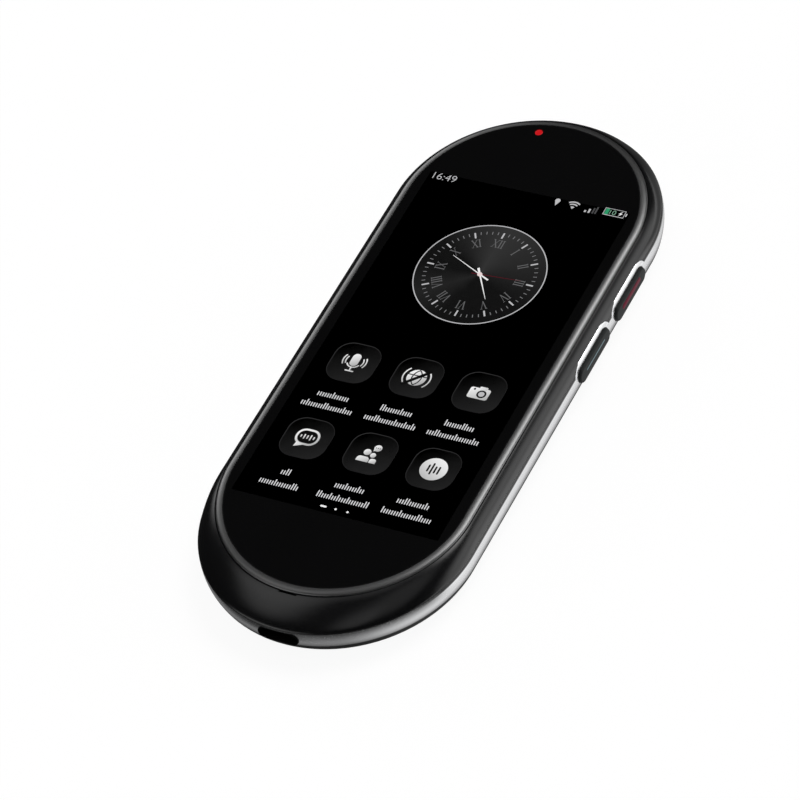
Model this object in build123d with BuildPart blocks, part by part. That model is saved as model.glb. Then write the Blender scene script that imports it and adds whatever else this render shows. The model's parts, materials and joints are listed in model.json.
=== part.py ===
from build123d import *
import math
import os

# Handheld translator: a flat oblong handset with a glass front, lying on its back.
# X runs across it towards the two side keys, Y along it towards the status light, Z up out of the
# display. The origin is the middle of the back, on the surface that the handset lies on.

os.makedirs("parts", exist_ok=True)

# ---- casing, from the back up ----
body_width = 58.8          # across the silver ring at its waist
body_length = 145.7
back_depth = 3.9           # back cover, up to the ring
ring_height = 4.1
bezel_height = 3.4         # dark front frame, from the ring to the edge of the glass
glass_proud = 0.6          # crown of the glass above the front frame

cover_inset = 0.38         # the back cover stands in from the ring's waist
cover_wall = 1.2
cover_tilt = 14            # its edge leans in by this many degrees, then rounds under to the flat back
cover_steps = 5
lip_height = 0.7           # tongue of the back cover inside the ring
lip_wall = 0.8
lip_gap = 0.1

ring_wall = 2.3
ring_waist = 2.4           # height of the widest line above the ring's foot
ring_foot_inset = 0.35
ring_top_inset = 0.1
ledge_depth = 1.8          # the ring's inner ledge, clamped under the front frame
ledge_height = 0.8

bezel_inset = 0.2          # the front frame's foot stands in from the ring's waist
bezel_lip = 0.25           # rim of the front frame round the glass
side_bulge = 3.2           # how early the flanks swell below the glass
end_bulge = 1.24           # the same along the chin and the brow, which are nearly straight
bezel_steps = 5

# ---- glass and display ----
side_margin = 2.2          # waist of the ring to the edge of the glass
chin_margin = 7.15
brow_margin = 3.55
glass_thickness = 1.0
glass_gap = 0.12
rim_width = 1.8            # rounded edge of the glass
rim_steps = 6
glass_seat = 1.7           # width of the seat under the edge of the glass
gasket_thickness = 0.1
gasket_gap = 0.1
display_side = 2.9         # edge of the glass to the display
display_brow = 20.3
display_chin = 19.1
display_thickness = 1.5
display_corner = 3.0
tray_thickness = 0.4
tray_margin = 0.2
cushion_side = 4.3         # edge of the display to its cushion
cushion_end = 5.8
cushion_band = 3.0

# ---- chassis ----
chassis_thickness = 1.0
chassis_gap = 0.15
lug_reach = 6.25           # from the waist of the ring in to the screws that hold the front frame
lug_radius = 1.8
lug_height = 1.0
lug_chin_reaches = (32.85, 64.85)      # from the chin's end of the casing
lug_brow_reach = 26.85                 # from the brow's end
screw_radius = 0.6
screw_bite = 0.9
screw_head_radius = 1.2
screw_head_height = 0.6
screw_gap = 0.05
cross_length = 1.4
cross_width = 0.3
cross_depth = 0.35

# ---- side keys ----
key_reach = 50.2           # from the brow's end to half-way between the two keys
key_pitch = 17.95
key_rise = 2.15            # middle of the keys above the ring's foot
key_length = 14.4
key_height = 3.45
key_proud = 0.6
key_round = 0.4
key_gap = 0.12
key_travel = 0.35
flange_ends = 0.9          # the flange behind the ring is longer than the key
flange_height = 2.4
flange_thickness = 1.0
flange_gap = 0.08
stem_length = 0.8
stem_width = 3.0
stem_height = 1.8
frame_margin = 1.7         # silver frame above and below a key
frame_ends = 1.3
frame_proud = 0.12
frame_gap = 0.05
line_length = 8.9          # coloured line let into the key
line_rise = 0.4            # and this far above its middle
line_depth = 0.25
line_proud = 0.03
upper_line_width = 0.9
lower_line_width = 0.35
switch_length = 4.2
switch_height = 2.8
switch_depth = 1.8
plunger_radius = 0.8
plunger_gap = 0.08
plunger_spare = 0.25       # plunger still out of the switch when the key is down
plunger_root = 0.3
bay_spare = 1.0            # room along Y past the flanges
strip_thickness = 0.2      # flexible circuits
bracket_thickness = 0.6
bracket_height = 3.0
bracket_foot = 3.0
bracket_foot_length = 8.0
bracket_foot_thickness = 0.4

# ---- main board and what it carries ----
board_thickness = 0.8
board_drop = 0.9           # room between the chassis and the main board
board_gap = 0.6            # edge of the boards to the casing
board_reach = 55.85        # from the brow's end to the edge towards the battery
board_bay_gap = 0.4
standoff_radius = 1.5
# screws: side of the casing, way in from that side, way in from the brow's end
board_screw_places = ((-1, 6.4, 52.85), (1, 8.9, 29.35), (-1, 12.4, 14.85), (1, 12.4, 14.85))
can_reach = 44.85          # from the brow's end to the middle of both cans
can_wall = 0.2
can_height = 1.5
can_corner = 1.0
large_can = (25.0, 19.0)
large_can_x = -8.5
small_can = (11.0, 14.0)
small_can_x = 11.0
chip_height = 1.0
processor_size = (13.0, 13.0)
processor_x = -13.0
memory_size = (8.0, 11.5)
memory_x = -1.2
radio_size = (8.0, 9.0)

# ---- rear camera and lamp ----
camera_reach = 20.85       # from the brow's end
camera_x = -4.5
lamp_x = 5.2
camera_size = 8.6
camera_height = 3.0
camera_hole_gap = 0.3
lens_radius = 3.1
lens_gap = 0.25            # lens and lamp guide to the window's carrier
lens_bore = 1.6
lens_bore_depth = 0.4
window_length = 18.3
window_width = 7.7
window_thickness = 0.7
window_gap = 0.05
window_seat = 0.7
trim_wall = 1.2
trim_sunk = 0.1
trim_gap = 0.1
trim_flange = 1.1
trim_flange_thickness = 0.4
trim_seat_thickness = 0.2
lamp_size = 2.4
lamp_height = 0.8
lamp_guide_radius = 1.4

# ---- status light ----
light_x = -5.7
light_inset = 4.5          # from the end of the glass
light_radius = 0.95
light_gap = 0.1
light_sunk = 0.02
light_collar = 0.9
light_collar_height = 0.7
led_size = 1.2
led_height = 0.6
led_gap = 0.1

# ---- port, lower board, microphone, loudspeaker ----
port_rise = 1.9            # middle of the port above the ring's foot
port_width = 8.94
port_height = 3.2
port_gap = 0.08
port_wall = 0.3
port_depth = 7.3
port_sunk = 0.65           # mouth of the shell behind the ring's outer face
port_block = 1.2
tongue_width = 6.7
tongue_thickness = 0.7
tongue_length = 4.9
contact_count = 12
contact_pitch = 0.5
contact_width = 0.25
contact_length = 3.2
contact_thickness = 0.04
port_bay_gap = 1.0
sub_board_reach = 15.35    # from the chin's end to the edge towards the battery
sub_screw_side = 15.4      # from the sides of the casing
sub_screw_reach = 12.35
mic_slot_length = 4.0
mic_slot_depth = 0.4
mic_slot_height = 1.0
mic_size = (3.6, 2.8, 1.0)
mic_hole_radius = 0.4
mic_board_size = (8.0, 4.6)
mic_board_thickness = 0.4
boot_wall = 0.6
boot_gap = 0.05
boot_setback = 0.3         # middle of the microphone behind its sound hole
speaker_reach = 22.35      # from the chin's end
speaker_length = 10.0
speaker_motor_gap = 1.5
speaker_height = 3.2
speaker_round = 0.8
mesh_thickness = 0.15
mesh_side = 2.5            # side of the loudspeaker to its mesh
mesh_end = 1.5
slot_count = 9
slot_pitch = 2.0
slot_width = 0.9
slot_length = 5.0

# ---- battery, motor, aerials, flexible circuits ----
battery_screw_gap = 0.45
battery_link_gap = 0.5
battery_board_gap = 4.0
battery_speaker_gap = 2.5
battery_thickness = 4.4
battery_round = 1.2
tape_thickness = 0.15
tape_margin = 5.0
lead_side = 9.5            # from the side of the battery
lead_width = 8.0
lead_rise = 0.9            # lead below the top of the battery
lead_reach = 5.0
lead_bend = 1.0
plug_gap = 0.05
plug_size = (6.0, 2.4)
motor_side = 10.9          # from the side of the casing
motor_reach = 21.85        # from the chin's end
motor_radius = 4.0
motor_height = 2.8
aerial_width = 2.6
aerial_gap = 0.1           # lower aerial to the rounded inside of the back cover
aerial_height = 1.8
upper_aerial_reach = 11.85
lower_aerial_reach = 9.35
link_screw_gap = 1.95
link_width = 3.0
link_reach = 3.0
flex_width = 12.0
flex_lap = 3.6             # circuit under the display, up to the display's edge
flex_slot_width = 3.0
flex_slot_gap = 5.0        # from the lower board's edge to the slot in the chassis
flex_landing = 3.0

# ---- heights, widths and places that follow ----
brow = body_length / 2
chin = -body_length / 2
flank = body_width / 2
ring_foot = back_depth
cover_floor = cover_wall
cover_round = back_depth / (1 - math.sin(math.radians(cover_tilt)))
cover_centre = cover_inset + cover_round * math.cos(math.radians(cover_tilt))
ring_top = ring_foot + ring_height
bezel_top = ring_top + bezel_height
glass_top = bezel_top + glass_proud
glass_foot = glass_top - glass_thickness
seat_top = glass_foot - gasket_thickness
display_foot = glass_foot - display_thickness
tray_foot = display_foot - tray_thickness
chassis_top = ring_top - ledge_height
chassis_foot = chassis_top - chassis_thickness
board_top = chassis_foot - board_drop
board_foot = board_top - board_thickness

glass_width = body_width - 2 * side_margin
glass_length = body_length - chin_margin - brow_margin
glass_shift = (chin_margin - brow_margin) / 2
display_width = glass_width - 2 * display_side
display_length = glass_length - display_brow - display_chin
display_shift = glass_shift + (display_chin - display_brow) / 2
cushion_width = display_width - 2 * cushion_side
cushion_length = display_length - 2 * cushion_end
inner_width = body_width - 2 * ring_wall
inner_length = body_length - 2 * ring_wall
cavity_width = inner_width - 2 * (lip_gap + lip_wall)
cavity_length = inner_length - 2 * (lip_gap + lip_wall)
cavity_inset = (body_width - cavity_width) / 2
cavity_tilt = math.degrees(math.acos((cover_centre - cavity_inset) / (cover_round - cover_wall)))
board_width = cavity_width - 2 * board_gap
board_length = cavity_length - 2 * board_gap
opening_width = glass_width - 2 * glass_seat
opening_length = glass_length - 2 * glass_seat
lug_x = flank - lug_reach
lug_ends = [chin + reach for reach in lug_chin_reaches] + [brow - lug_brow_reach]

key_z = ring_foot + key_rise
key_middle = brow - key_reach
key_spots = (key_middle + key_pitch / 2, key_middle - key_pitch / 2)
wall_face = inner_width / 2
key_face = flank + key_proud
flange_face = wall_face - flange_gap
flange_back = flange_face - flange_thickness
stem_end = flange_back - stem_length
switch_face = stem_end - key_travel - plunger_spare
switch_back = switch_face - switch_depth
bracket_face = switch_back - strip_thickness
bracket_back = bracket_face - bracket_thickness
bay_length = key_pitch + key_length + 2 * (flange_ends + bay_spare)

board_edge = brow - board_reach
board_spots = [(side * (flank - inset), brow - reach) for side, inset, reach in board_screw_places]
cans_y = brow - can_reach
camera_y = brow - camera_reach
light_y = glass_shift + glass_length / 2 - light_inset

port_z = ring_foot + port_rise
port_mouth = chin + port_sunk
port_back = port_mouth + port_depth
sub_board_top = port_z - port_height / 2
sub_board_foot = sub_board_top - board_thickness
sub_board_edge = chin + sub_board_reach
sub_board_spots = [(side * (flank - sub_screw_side), chin + sub_screw_reach) for side in (-1, 1)]
speaker_y = chin + speaker_reach
motor_x = motor_side - flank
motor_y = chin + motor_reach
speaker_width = 2 * (-motor_x - motor_radius - speaker_motor_gap)

mic_y = chin + chin_margin - glass_gap - mic_slot_depth / 2
mic_middle = mic_y - boot_setback
mic_slot_foot = bezel_top - mic_slot_height
boot_width = mic_size[0] + 2 * boot_wall
boot_length = mic_size[1] + 2 * boot_wall
boot_height = mic_size[2] + boot_wall

window_foot = cover_floor - trim_seat_thickness - window_thickness
lens_foot = cover_floor + lens_gap
camera_foot = chassis_foot - camera_height
battery_top = chassis_foot - tape_thickness
link_x = lug_x - screw_head_radius - link_screw_gap - link_width / 2
battery_left = battery_screw_gap + screw_head_radius - lug_x
battery_right = link_x - link_width / 2 - battery_link_gap
lead_x = battery_left + lead_side
battery_near = speaker_y + speaker_length / 2 + battery_speaker_gap
battery_end = board_edge - battery_board_gap
battery_width = battery_right - battery_left
battery_length = battery_end - battery_near
battery_x = (battery_left + battery_right) / 2
battery_y = (battery_near + battery_end) / 2
flex_start = display_shift - display_length / 2 + flex_lap
flex_slot_y = sub_board_edge + flex_slot_gap
speaker_foot = cover_floor + mesh_thickness


# ---- shapes that come back ----
def oblong(height, width, length, shift=0.0):
    """A flat oblong with half-round ends at a height, its middle moved along Y."""
    with BuildSketch(Plane.XY.offset(height)) as outline:
        with Locations((0, shift)):
            SlotOverall(length, width, rotation=90)
    return outline.sketch


def bar(height, width, length, x=0.0, y=0.0):
    """A flat slot lying along X at a height."""
    with BuildSketch(Plane.XY.offset(height)) as outline:
        with Locations((x, y)):
            SlotOverall(length, width)
    return outline.sketch


def panel(height, width, length, corner, x=0.0, y=0.0):
    """A flat rectangle with rounded corners at a height."""
    with BuildSketch(Plane.XY.offset(height)) as outline:
        with Locations((x, y)):
            RectangleRounded(width, length, corner)
    return outline.sketch


def side_pill(x, length, height, middles, rise=0.0):
    """Upright slots on a plane across X, one at each place along Y, raised from the keys' middle."""
    with BuildSketch(Plane.YZ.offset(x)) as outline:
        with Locations(*[(middle, key_z + rise) for middle in middles]):
            SlotOverall(length, height)
    return outline.sketch


def end_pill(y, width, height):
    """An upright slot round the port's axis, on a plane across Y."""
    with BuildSketch(Plane.XZ.offset(-y)) as outline:
        with Locations((0, port_z)):
            SlotOverall(width, height)
    return outline.sketch


def cover_levels(wall, tilt):
    """Outlines of the back cover's rounded underside, a wall in from its outer face, up to a tilt."""
    levels = []
    radius = cover_round - wall
    for step in range(cover_steps + 1):
        turn = math.radians(90 + (tilt - 90) * step / cover_steps)
        inset = cover_centre - radius * math.cos(turn)
        levels.append(oblong(cover_round - radius * math.sin(turn), body_width - 2 * inset,
                             body_length - 2 * inset))
    return levels


def cover_rise(inset):
    """Height of the inside of the back cover at a distance in from the ring's waist."""
    return cover_round - math.sqrt((cover_round - cover_wall) ** 2 - (cover_centre - inset) ** 2)


def front_levels(grow):
    """Outlines of the front frame's outside, from the ring up to the glass, grown all round."""
    levels = []
    top_width = glass_width + 2 * (glass_gap + bezel_lip)
    top_length = glass_length + 2 * (glass_gap + bezel_lip)
    foot_width = body_width - 2 * bezel_inset
    foot_length = body_length - 2 * bezel_inset
    for step in range(bezel_steps + 1):
        rise = step / bezel_steps
        across = 1 - rise ** side_bulge
        along = 1 - rise ** end_bulge
        width = top_width + (foot_width - top_width) * across + 2 * grow
        length = top_length + (foot_length - top_length) * along + 2 * grow
        height = ring_top + bezel_height * rise
        levels.append(oblong(height, width, length, glass_shift * (1 - along)))
    return levels


def strip(points, width, thickness, x):
    """A flexible circuit: a thin band across X that follows points in the YZ plane."""
    with BuildPart() as band:
        with BuildSketch(Plane.YZ.offset(x - width / 2)):
            with BuildLine():
                Polyline(*points)
            trace(line_width=thickness)
        extrude(amount=width)
    return band


def screws(spots, head_foot, reach):
    """Small cross-head screws with their heads down, one at each spot."""
    with BuildPart() as group:
        with Locations(*[(x, y, head_foot) for x, y in spots]):
            Cylinder(screw_head_radius, screw_head_height, align=(Align.CENTER, Align.CENTER, Align.MIN))
            Cylinder(screw_radius, reach, align=(Align.CENTER, Align.CENTER, Align.MIN))
            Box(cross_length, cross_width, 2 * cross_depth, mode=Mode.SUBTRACT)
            Box(cross_width, cross_length, 2 * cross_depth, mode=Mode.SUBTRACT)
    return group


def can(size, spot):
    """A shield can on the underside of the main board, open towards the board."""
    foot = board_foot - can_height
    with BuildPart() as shell:
        extrude(panel(foot, size[0], size[1], can_corner, *spot), amount=can_height)
        room = (size[0] - 2 * can_wall, size[1] - 2 * can_wall)
        inside = panel(foot + can_wall, room[0], room[1], can_corner - can_wall, *spot)
        extrude(inside, amount=can_height, mode=Mode.SUBTRACT)
    return shell


def chip(size, spot):
    """A flat chip on the underside of the main board."""
    with BuildPart() as block:
        with Locations((spot[0], spot[1], board_foot)):
            Box(size[0], size[1], chip_height, align=(Align.CENTER, Align.CENTER, Align.MAX))
    return block


on_top = (Align.CENTER, Align.CENTER, Align.MIN)
hung = (Align.CENTER, Align.CENTER, Align.MAX)
towards_key = (Align.MIN, Align.CENTER, Align.CENTER)
pieces = {}


# ---- back cover ----
with BuildPart() as back_cover:
    loft(cover_levels(0, cover_tilt))
    lip = oblong(back_depth, inner_width - 2 * lip_gap, inner_length - 2 * lip_gap)
    extrude(lip, amount=lip_height)
    loft(cover_levels(cover_wall, cavity_tilt), mode=Mode.SUBTRACT)
    extrude(oblong(cover_rise(cavity_inset), cavity_width, cavity_length), amount=back_depth,
            mode=Mode.SUBTRACT)
    # window of the rear camera
    camera_hole = bar(0, window_width + 2 * (trim_wall + trim_gap),
                      window_length + 2 * (trim_wall + trim_gap), 0, camera_y)
    extrude(camera_hole, amount=cover_floor, mode=Mode.SUBTRACT)
    # sound slots of the loudspeaker
    with BuildSketch():
        with Locations((0, speaker_y)):
            with GridLocations(slot_pitch, 1, slot_count, 1):
                SlotOverall(slot_length, slot_width, rotation=90)
    extrude(amount=cover_floor, mode=Mode.SUBTRACT)
    # the tongue opens for the port and stops at the keys
    extrude(end_pill(chin - key_proud, port_width + 2 * port_gap, port_height + 2 * port_gap),
            amount=-port_depth - port_bay_gap, mode=Mode.SUBTRACT)
    with Locations((wall_face, key_middle, back_depth)):
        Box(2 * lip_wall, bay_length, lip_height, align=(Align.MAX, Align.CENTER, Align.MIN),
            mode=Mode.SUBTRACT)
pieces["back_cover"] = back_cover


# ---- silver ring with the frames of the two keys ----
with BuildPart() as key_frames:
    loft(front_levels(frame_proud))
    extrude(side_pill(wall_face, key_length + 2 * frame_ends, key_height + 2 * frame_margin, key_spots),
            amount=body_width, mode=Mode.INTERSECT)

with BuildPart() as side_ring:
    loft([
        oblong(ring_foot, body_width - 2 * ring_foot_inset, body_length - 2 * ring_foot_inset),
        oblong(ring_foot + ring_waist, body_width, body_length),
        oblong(ring_top, body_width - 2 * ring_top_inset, body_length - 2 * ring_top_inset),
    ])
    add(key_frames.part)
    extrude(oblong(ring_foot, inner_width, inner_length), amount=ring_height - ledge_height,
            mode=Mode.SUBTRACT)
    extrude(oblong(chassis_top, inner_width - 2 * ledge_depth, inner_length - 2 * ledge_depth),
            amount=ledge_height, mode=Mode.SUBTRACT)
    # the ledge stops at the keys
    with Locations((wall_face, key_middle, chassis_top)):
        Box(2 * ledge_depth, bay_length, ledge_height, align=(Align.MAX, Align.CENTER, Align.MIN),
            mode=Mode.SUBTRACT)
    # openings of the keys and of the port
    extrude(side_pill(flange_back, key_length + 2 * key_gap, key_height + 2 * key_gap, key_spots),
            amount=ring_wall + frame_margin, mode=Mode.SUBTRACT)
    extrude(end_pill(chin - key_proud, port_width + 2 * port_gap, port_height + 2 * port_gap),
            amount=-port_depth - port_bay_gap, mode=Mode.SUBTRACT)
pieces["side_ring"] = side_ring


# ---- dark front frame ----
with BuildPart() as front_bezel:
    loft(front_levels(0))
    extrude(oblong(ring_top, opening_width, opening_length, glass_shift), amount=bezel_height,
            mode=Mode.SUBTRACT)
    extrude(oblong(seat_top, glass_width + 2 * glass_gap, glass_length + 2 * glass_gap, glass_shift),
            amount=bezel_height, mode=Mode.SUBTRACT)
    # lugs for the screws
    with BuildSketch(Plane.XY.offset(ring_top)):
        for end in lug_ends:
            with Locations((lug_x, end)):
                Circle(lug_radius)
                Rectangle(opening_width / 2 + glass_seat - lug_x, 2 * lug_radius,
                          align=(Align.MIN, Align.CENTER))
        mirror(about=Plane.YZ)
    extrude(amount=lug_height)
    with Locations(*[(side * lug_x, end, ring_top) for side in (-1, 1) for end in lug_ends]):
        Cylinder(screw_radius + screw_gap, lug_height, align=on_top, mode=Mode.SUBTRACT)
    # room for the silver frames of the keys
    extrude(side_pill(wall_face - frame_gap, key_length + 2 * (frame_ends + frame_gap),
                      key_height + 2 * (frame_margin + frame_gap), key_spots),
            amount=body_width, mode=Mode.SUBTRACT)
    # sound slot in the joint round the glass, its hole, and the pocket of the microphone
    with Locations((0, mic_y + glass_gap, mic_slot_foot)):
        Box(mic_slot_length, mic_slot_depth + 2 * glass_gap, bezel_height, align=on_top, mode=Mode.SUBTRACT)
    with Locations((0, mic_y, ring_top)):
        Cylinder(mic_hole_radius, bezel_height, align=on_top, mode=Mode.SUBTRACT)
    with Locations((0, mic_middle, ring_top)):
        Box(boot_width + 2 * boot_gap, boot_length + 2 * boot_gap, boot_height + boot_gap, align=on_top,
            mode=Mode.SUBTRACT)
pieces["front_bezel"] = front_bezel


# ---- cover glass, its gasket, and the display ----
with BuildPart() as cover_glass:
    extrude(oblong(glass_foot, glass_width, glass_length, glass_shift),
            amount=glass_thickness - glass_proud)
    crown = []
    for step in range(rim_steps + 1):
        turn = math.radians(90) * step / rim_steps
        inset = rim_width * (1 - math.cos(turn))
        crown.append(oblong(bezel_top + glass_proud * math.sin(turn), glass_width - 2 * inset,
                            glass_length - 2 * inset, glass_shift))
    loft(crown)
    with Locations((light_x, light_y, glass_foot)):
        Cylinder(light_radius + light_gap, glass_thickness, align=on_top, mode=Mode.SUBTRACT)
pieces["cover_glass"] = cover_glass

with BuildPart() as glass_gasket:
    extrude(oblong(seat_top, glass_width - 2 * gasket_gap, glass_length - 2 * gasket_gap, glass_shift),
            amount=gasket_thickness)
    extrude(oblong(seat_top, opening_width, opening_length, glass_shift), amount=gasket_thickness,
            mode=Mode.SUBTRACT)
pieces["glass_gasket"] = glass_gasket

with BuildPart() as display_panel:
    extrude(panel(display_foot, display_width, display_length, display_corner, 0, display_shift),
            amount=display_thickness)
pieces["display_panel"] = display_panel

with BuildPart() as display_tray:
    extrude(panel(tray_foot, display_width + tray_margin, display_length + tray_margin, display_corner,
                  0, display_shift), amount=tray_thickness)
pieces["display_tray"] = display_tray

with BuildPart() as display_cushion:
    extrude(panel(chassis_top, cushion_width, cushion_length, cushion_band, 0, display_shift),
            amount=tray_foot - chassis_top)
    extrude(panel(chassis_top, cushion_width - 2 * cushion_band, cushion_length - 2 * cushion_band,
                  display_corner, 0, display_shift), amount=tray_foot - chassis_top, mode=Mode.SUBTRACT)
pieces["display_cushion"] = display_cushion

flex_top = tray_foot - strip_thickness / 2
flex_low = sub_board_top + strip_thickness / 2
display_flex = strip(
    [
        (flex_start, flex_top),
        (flex_slot_y + flex_slot_width, flex_top),
        (flex_slot_y, chassis_top),
        (flex_slot_y, chassis_foot),
        (sub_board_edge, flex_low),
        (sub_board_edge - flex_landing, flex_low),
    ],
    flex_width, strip_thickness, 0)
pieces["display_flex"] = display_flex


# ---- chassis plate ----
with BuildPart() as chassis_plate:
    extrude(oblong(chassis_foot, inner_width - 2 * chassis_gap, inner_length - 2 * chassis_gap),
            amount=chassis_thickness)
    # bosses up to the front frame, standoffs down to the boards
    with Locations(*[(side * lug_x, end, chassis_top) for side in (-1, 1) for end in lug_ends]):
        Cylinder(lug_radius, ledge_height, align=on_top)
    with Locations(*[(x, y, chassis_foot) for x, y in board_spots]):
        Cylinder(standoff_radius, board_drop, align=hung)
    with Locations(*[(x, y, chassis_foot) for x, y in sub_board_spots]):
        Cylinder(standoff_radius, chassis_foot - sub_board_top, align=hung)
    # screw holes
    with Locations(*[(side * lug_x, end, chassis_foot) for side in (-1, 1) for end in lug_ends]):
        Cylinder(screw_radius + screw_gap, chassis_thickness + ledge_height, align=on_top,
                 mode=Mode.SUBTRACT)
    with Locations(*[(x, y, chassis_top) for x, y in board_spots + sub_board_spots]):
        Cylinder(screw_radius + screw_gap, chassis_top - sub_board_top, align=hung, mode=Mode.SUBTRACT)
    # bay of the keys, bay of the port, slot of the display's circuit, hole of the light guide
    with Locations((bracket_back, key_middle, chassis_foot)):
        Box(body_width, bay_length, chassis_thickness, align=(Align.MIN, Align.CENTER, Align.MIN),
            mode=Mode.SUBTRACT)
    with Locations((0, port_back + port_bay_gap, chassis_foot)):
        Box(port_width + 2 * port_bay_gap, body_length, chassis_thickness,
            align=(Align.CENTER, Align.MAX, Align.MIN), mode=Mode.SUBTRACT)
    with Locations((0, flex_slot_y, chassis_foot)):
        Box(flex_width + flex_slot_width, flex_slot_width, chassis_thickness, align=on_top,
            mode=Mode.SUBTRACT)
    with Locations((light_x, light_y, chassis_foot)):
        Cylinder(light_radius + light_gap, chassis_thickness, align=on_top, mode=Mode.SUBTRACT)
pieces["chassis_plate"] = chassis_plate

lug_spots = [(side * lug_x, end) for side in (-1, 1) for end in lug_ends]
chassis_screw_length = screw_head_height + chassis_thickness + ledge_height + screw_bite
chassis_screws = screws(lug_spots, chassis_foot - screw_head_height, chassis_screw_length)
pieces["chassis_screws"] = chassis_screws


# ---- side keys: cap, coloured line and plunger, one set for each key ----
def key_cap(middle, line_width):
    """A key: the pill in the opening, the flange behind the wall and the stem to the switch."""
    with BuildPart() as cap:
        extrude(side_pill(flange_back, key_length, key_height, [middle]), amount=key_face - flange_back)
        fillet(cap.faces().sort_by(Axis.X)[-1].edges(), key_round)
        # behind the wall the key is only as high as its flange
        with Locations((flange_back, middle, key_z)):
            Box(flange_thickness, body_length, body_width, align=towards_key, mode=Mode.SUBTRACT)
            Box(flange_thickness, key_length + 2 * flange_ends, flange_height, align=towards_key)
        with Locations((stem_end, middle, key_z)):
            Box(stem_length, stem_width, stem_height, align=towards_key)
        extrude(side_pill(key_face, line_length, line_width, [middle], line_rise), amount=-line_depth,
                mode=Mode.SUBTRACT)
    return cap


def key_line(middle, line_width):
    """The coloured line let into a key."""
    with BuildPart() as inlay:
        extrude(side_pill(key_face - line_depth, line_length, line_width, [middle], line_rise),
                amount=line_depth + line_proud)
    return inlay


def plunger(middle):
    """The moving pin of a switch."""
    with BuildPart() as pin:
        with BuildSketch(Plane.YZ.offset(switch_face - plunger_root)):
            with Locations((middle, key_z)):
                Circle(plunger_radius)
        extrude(amount=stem_end - switch_face + plunger_root)
    return pin


line_widths = {"upper": upper_line_width, "lower": lower_line_width}
for (side, line_width), middle in zip(line_widths.items(), key_spots):
    pieces[f"{side}_key_cap"] = key_cap(middle, line_width)
    pieces[f"{side}_key_line"] = key_line(middle, line_width)
    pieces[f"{side}_key_plunger"] = plunger(middle)

with BuildPart() as key_switches:
    with Locations(*[(switch_back, middle, key_z) for middle in key_spots]):
        Box(switch_depth, switch_length, switch_height, align=towards_key)
    bore_depth = plunger_root + key_travel + plunger_gap
    with BuildSketch(Plane.YZ.offset(switch_face)):
        with Locations(*[(middle, key_z) for middle in key_spots]):
            Circle(plunger_radius + plunger_gap)
    extrude(amount=-bore_depth, mode=Mode.SUBTRACT)
pieces["key_switches"] = key_switches

with BuildPart() as key_flex:
    with Locations((bracket_face, key_middle, key_z)):
        Box(strip_thickness, key_pitch + switch_length + bay_spare, switch_height, align=towards_key)
pieces["key_flex"] = key_flex

with BuildPart() as key_bracket:
    with Locations((bracket_back, key_middle, key_z)):
        Box(bracket_thickness, bay_length - bay_spare, bracket_height, align=towards_key)
    with Locations((bracket_back, key_middle, chassis_foot)):
        Box(bracket_foot, bracket_foot_length, bracket_foot_thickness,
            align=(Align.MAX, Align.CENTER, Align.MAX))
pieces["key_bracket"] = key_bracket


# ---- main board ----
with BuildPart() as main_board:
    extrude(oblong(board_foot, board_width, board_length), amount=board_thickness)
    with Locations((0, board_edge, board_foot)):
        Box(body_width, body_length, board_thickness, align=(Align.CENTER, Align.MIN, Align.MIN),
            mode=Mode.INTERSECT)
    with Locations((bracket_back - board_bay_gap, key_middle, board_foot)):
        Box(body_width, bay_length + 2 * board_bay_gap, board_thickness,
            align=(Align.MIN, Align.CENTER, Align.MIN), mode=Mode.SUBTRACT)
    with Locations((camera_x, camera_y, board_foot)):
        Box(camera_size + 2 * camera_hole_gap, camera_size + 2 * camera_hole_gap, board_thickness,
            align=on_top, mode=Mode.SUBTRACT)
    with Locations(*[(x, y, board_foot) for x, y in board_spots]):
        Cylinder(screw_radius + screw_gap, board_thickness, align=on_top, mode=Mode.SUBTRACT)
pieces["main_board"] = main_board

board_screw_length = screw_head_height + board_thickness + board_drop + screw_bite
pieces["main_board_screws"] = screws(board_spots, board_foot - screw_head_height, board_screw_length)
pieces["large_shield_can"] = can(large_can, (large_can_x, cans_y))
pieces["small_shield_can"] = can(small_can, (small_can_x, cans_y))
pieces["processor"] = chip(processor_size, (processor_x, cans_y))
pieces["memory_chip"] = chip(memory_size, (memory_x, cans_y))
pieces["radio_module"] = chip(radio_size, (small_can_x, cans_y))


# ---- rear camera and lamp behind one window ----
with BuildPart() as camera_body:
    with Locations((camera_x, camera_y, camera_foot)):
        Box(camera_size, camera_size, camera_height, align=on_top)
pieces["camera_body"] = camera_body

with BuildPart() as camera_lens:
    with Locations((camera_x, camera_y, lens_foot)):
        Cylinder(lens_radius, camera_foot - lens_foot, align=on_top)
        Cylinder(lens_bore, lens_bore_depth, align=on_top, mode=Mode.SUBTRACT)
pieces["camera_lens"] = camera_lens

with BuildPart() as camera_trim:
    outer_width = window_width + 2 * trim_wall
    outer_length = window_length + 2 * trim_wall
    extrude(bar(trim_sunk, outer_width, outer_length, 0, camera_y), amount=cover_floor - trim_sunk)
    extrude(bar(cover_floor, outer_width + 2 * trim_flange, outer_length + 2 * trim_flange, 0, camera_y),
            amount=trim_flange_thickness)
    extrude(bar(trim_sunk, window_width + 2 * window_gap, window_length + 2 * window_gap, 0, camera_y),
            amount=cover_floor - trim_sunk - trim_seat_thickness, mode=Mode.SUBTRACT)
    extrude(bar(trim_sunk, window_width - 2 * window_seat, window_length - 2 * window_seat, 0, camera_y),
            amount=cover_floor + trim_flange_thickness, mode=Mode.SUBTRACT)
pieces["camera_trim"] = camera_trim

with BuildPart() as camera_window:
    extrude(bar(window_foot, window_width, window_length, 0, camera_y), amount=window_thickness)
pieces["camera_window"] = camera_window

with BuildPart() as lamp:
    with Locations((lamp_x, camera_y, board_foot)):
        Box(lamp_size, lamp_size, lamp_height, align=hung)
pieces["lamp"] = lamp

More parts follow.
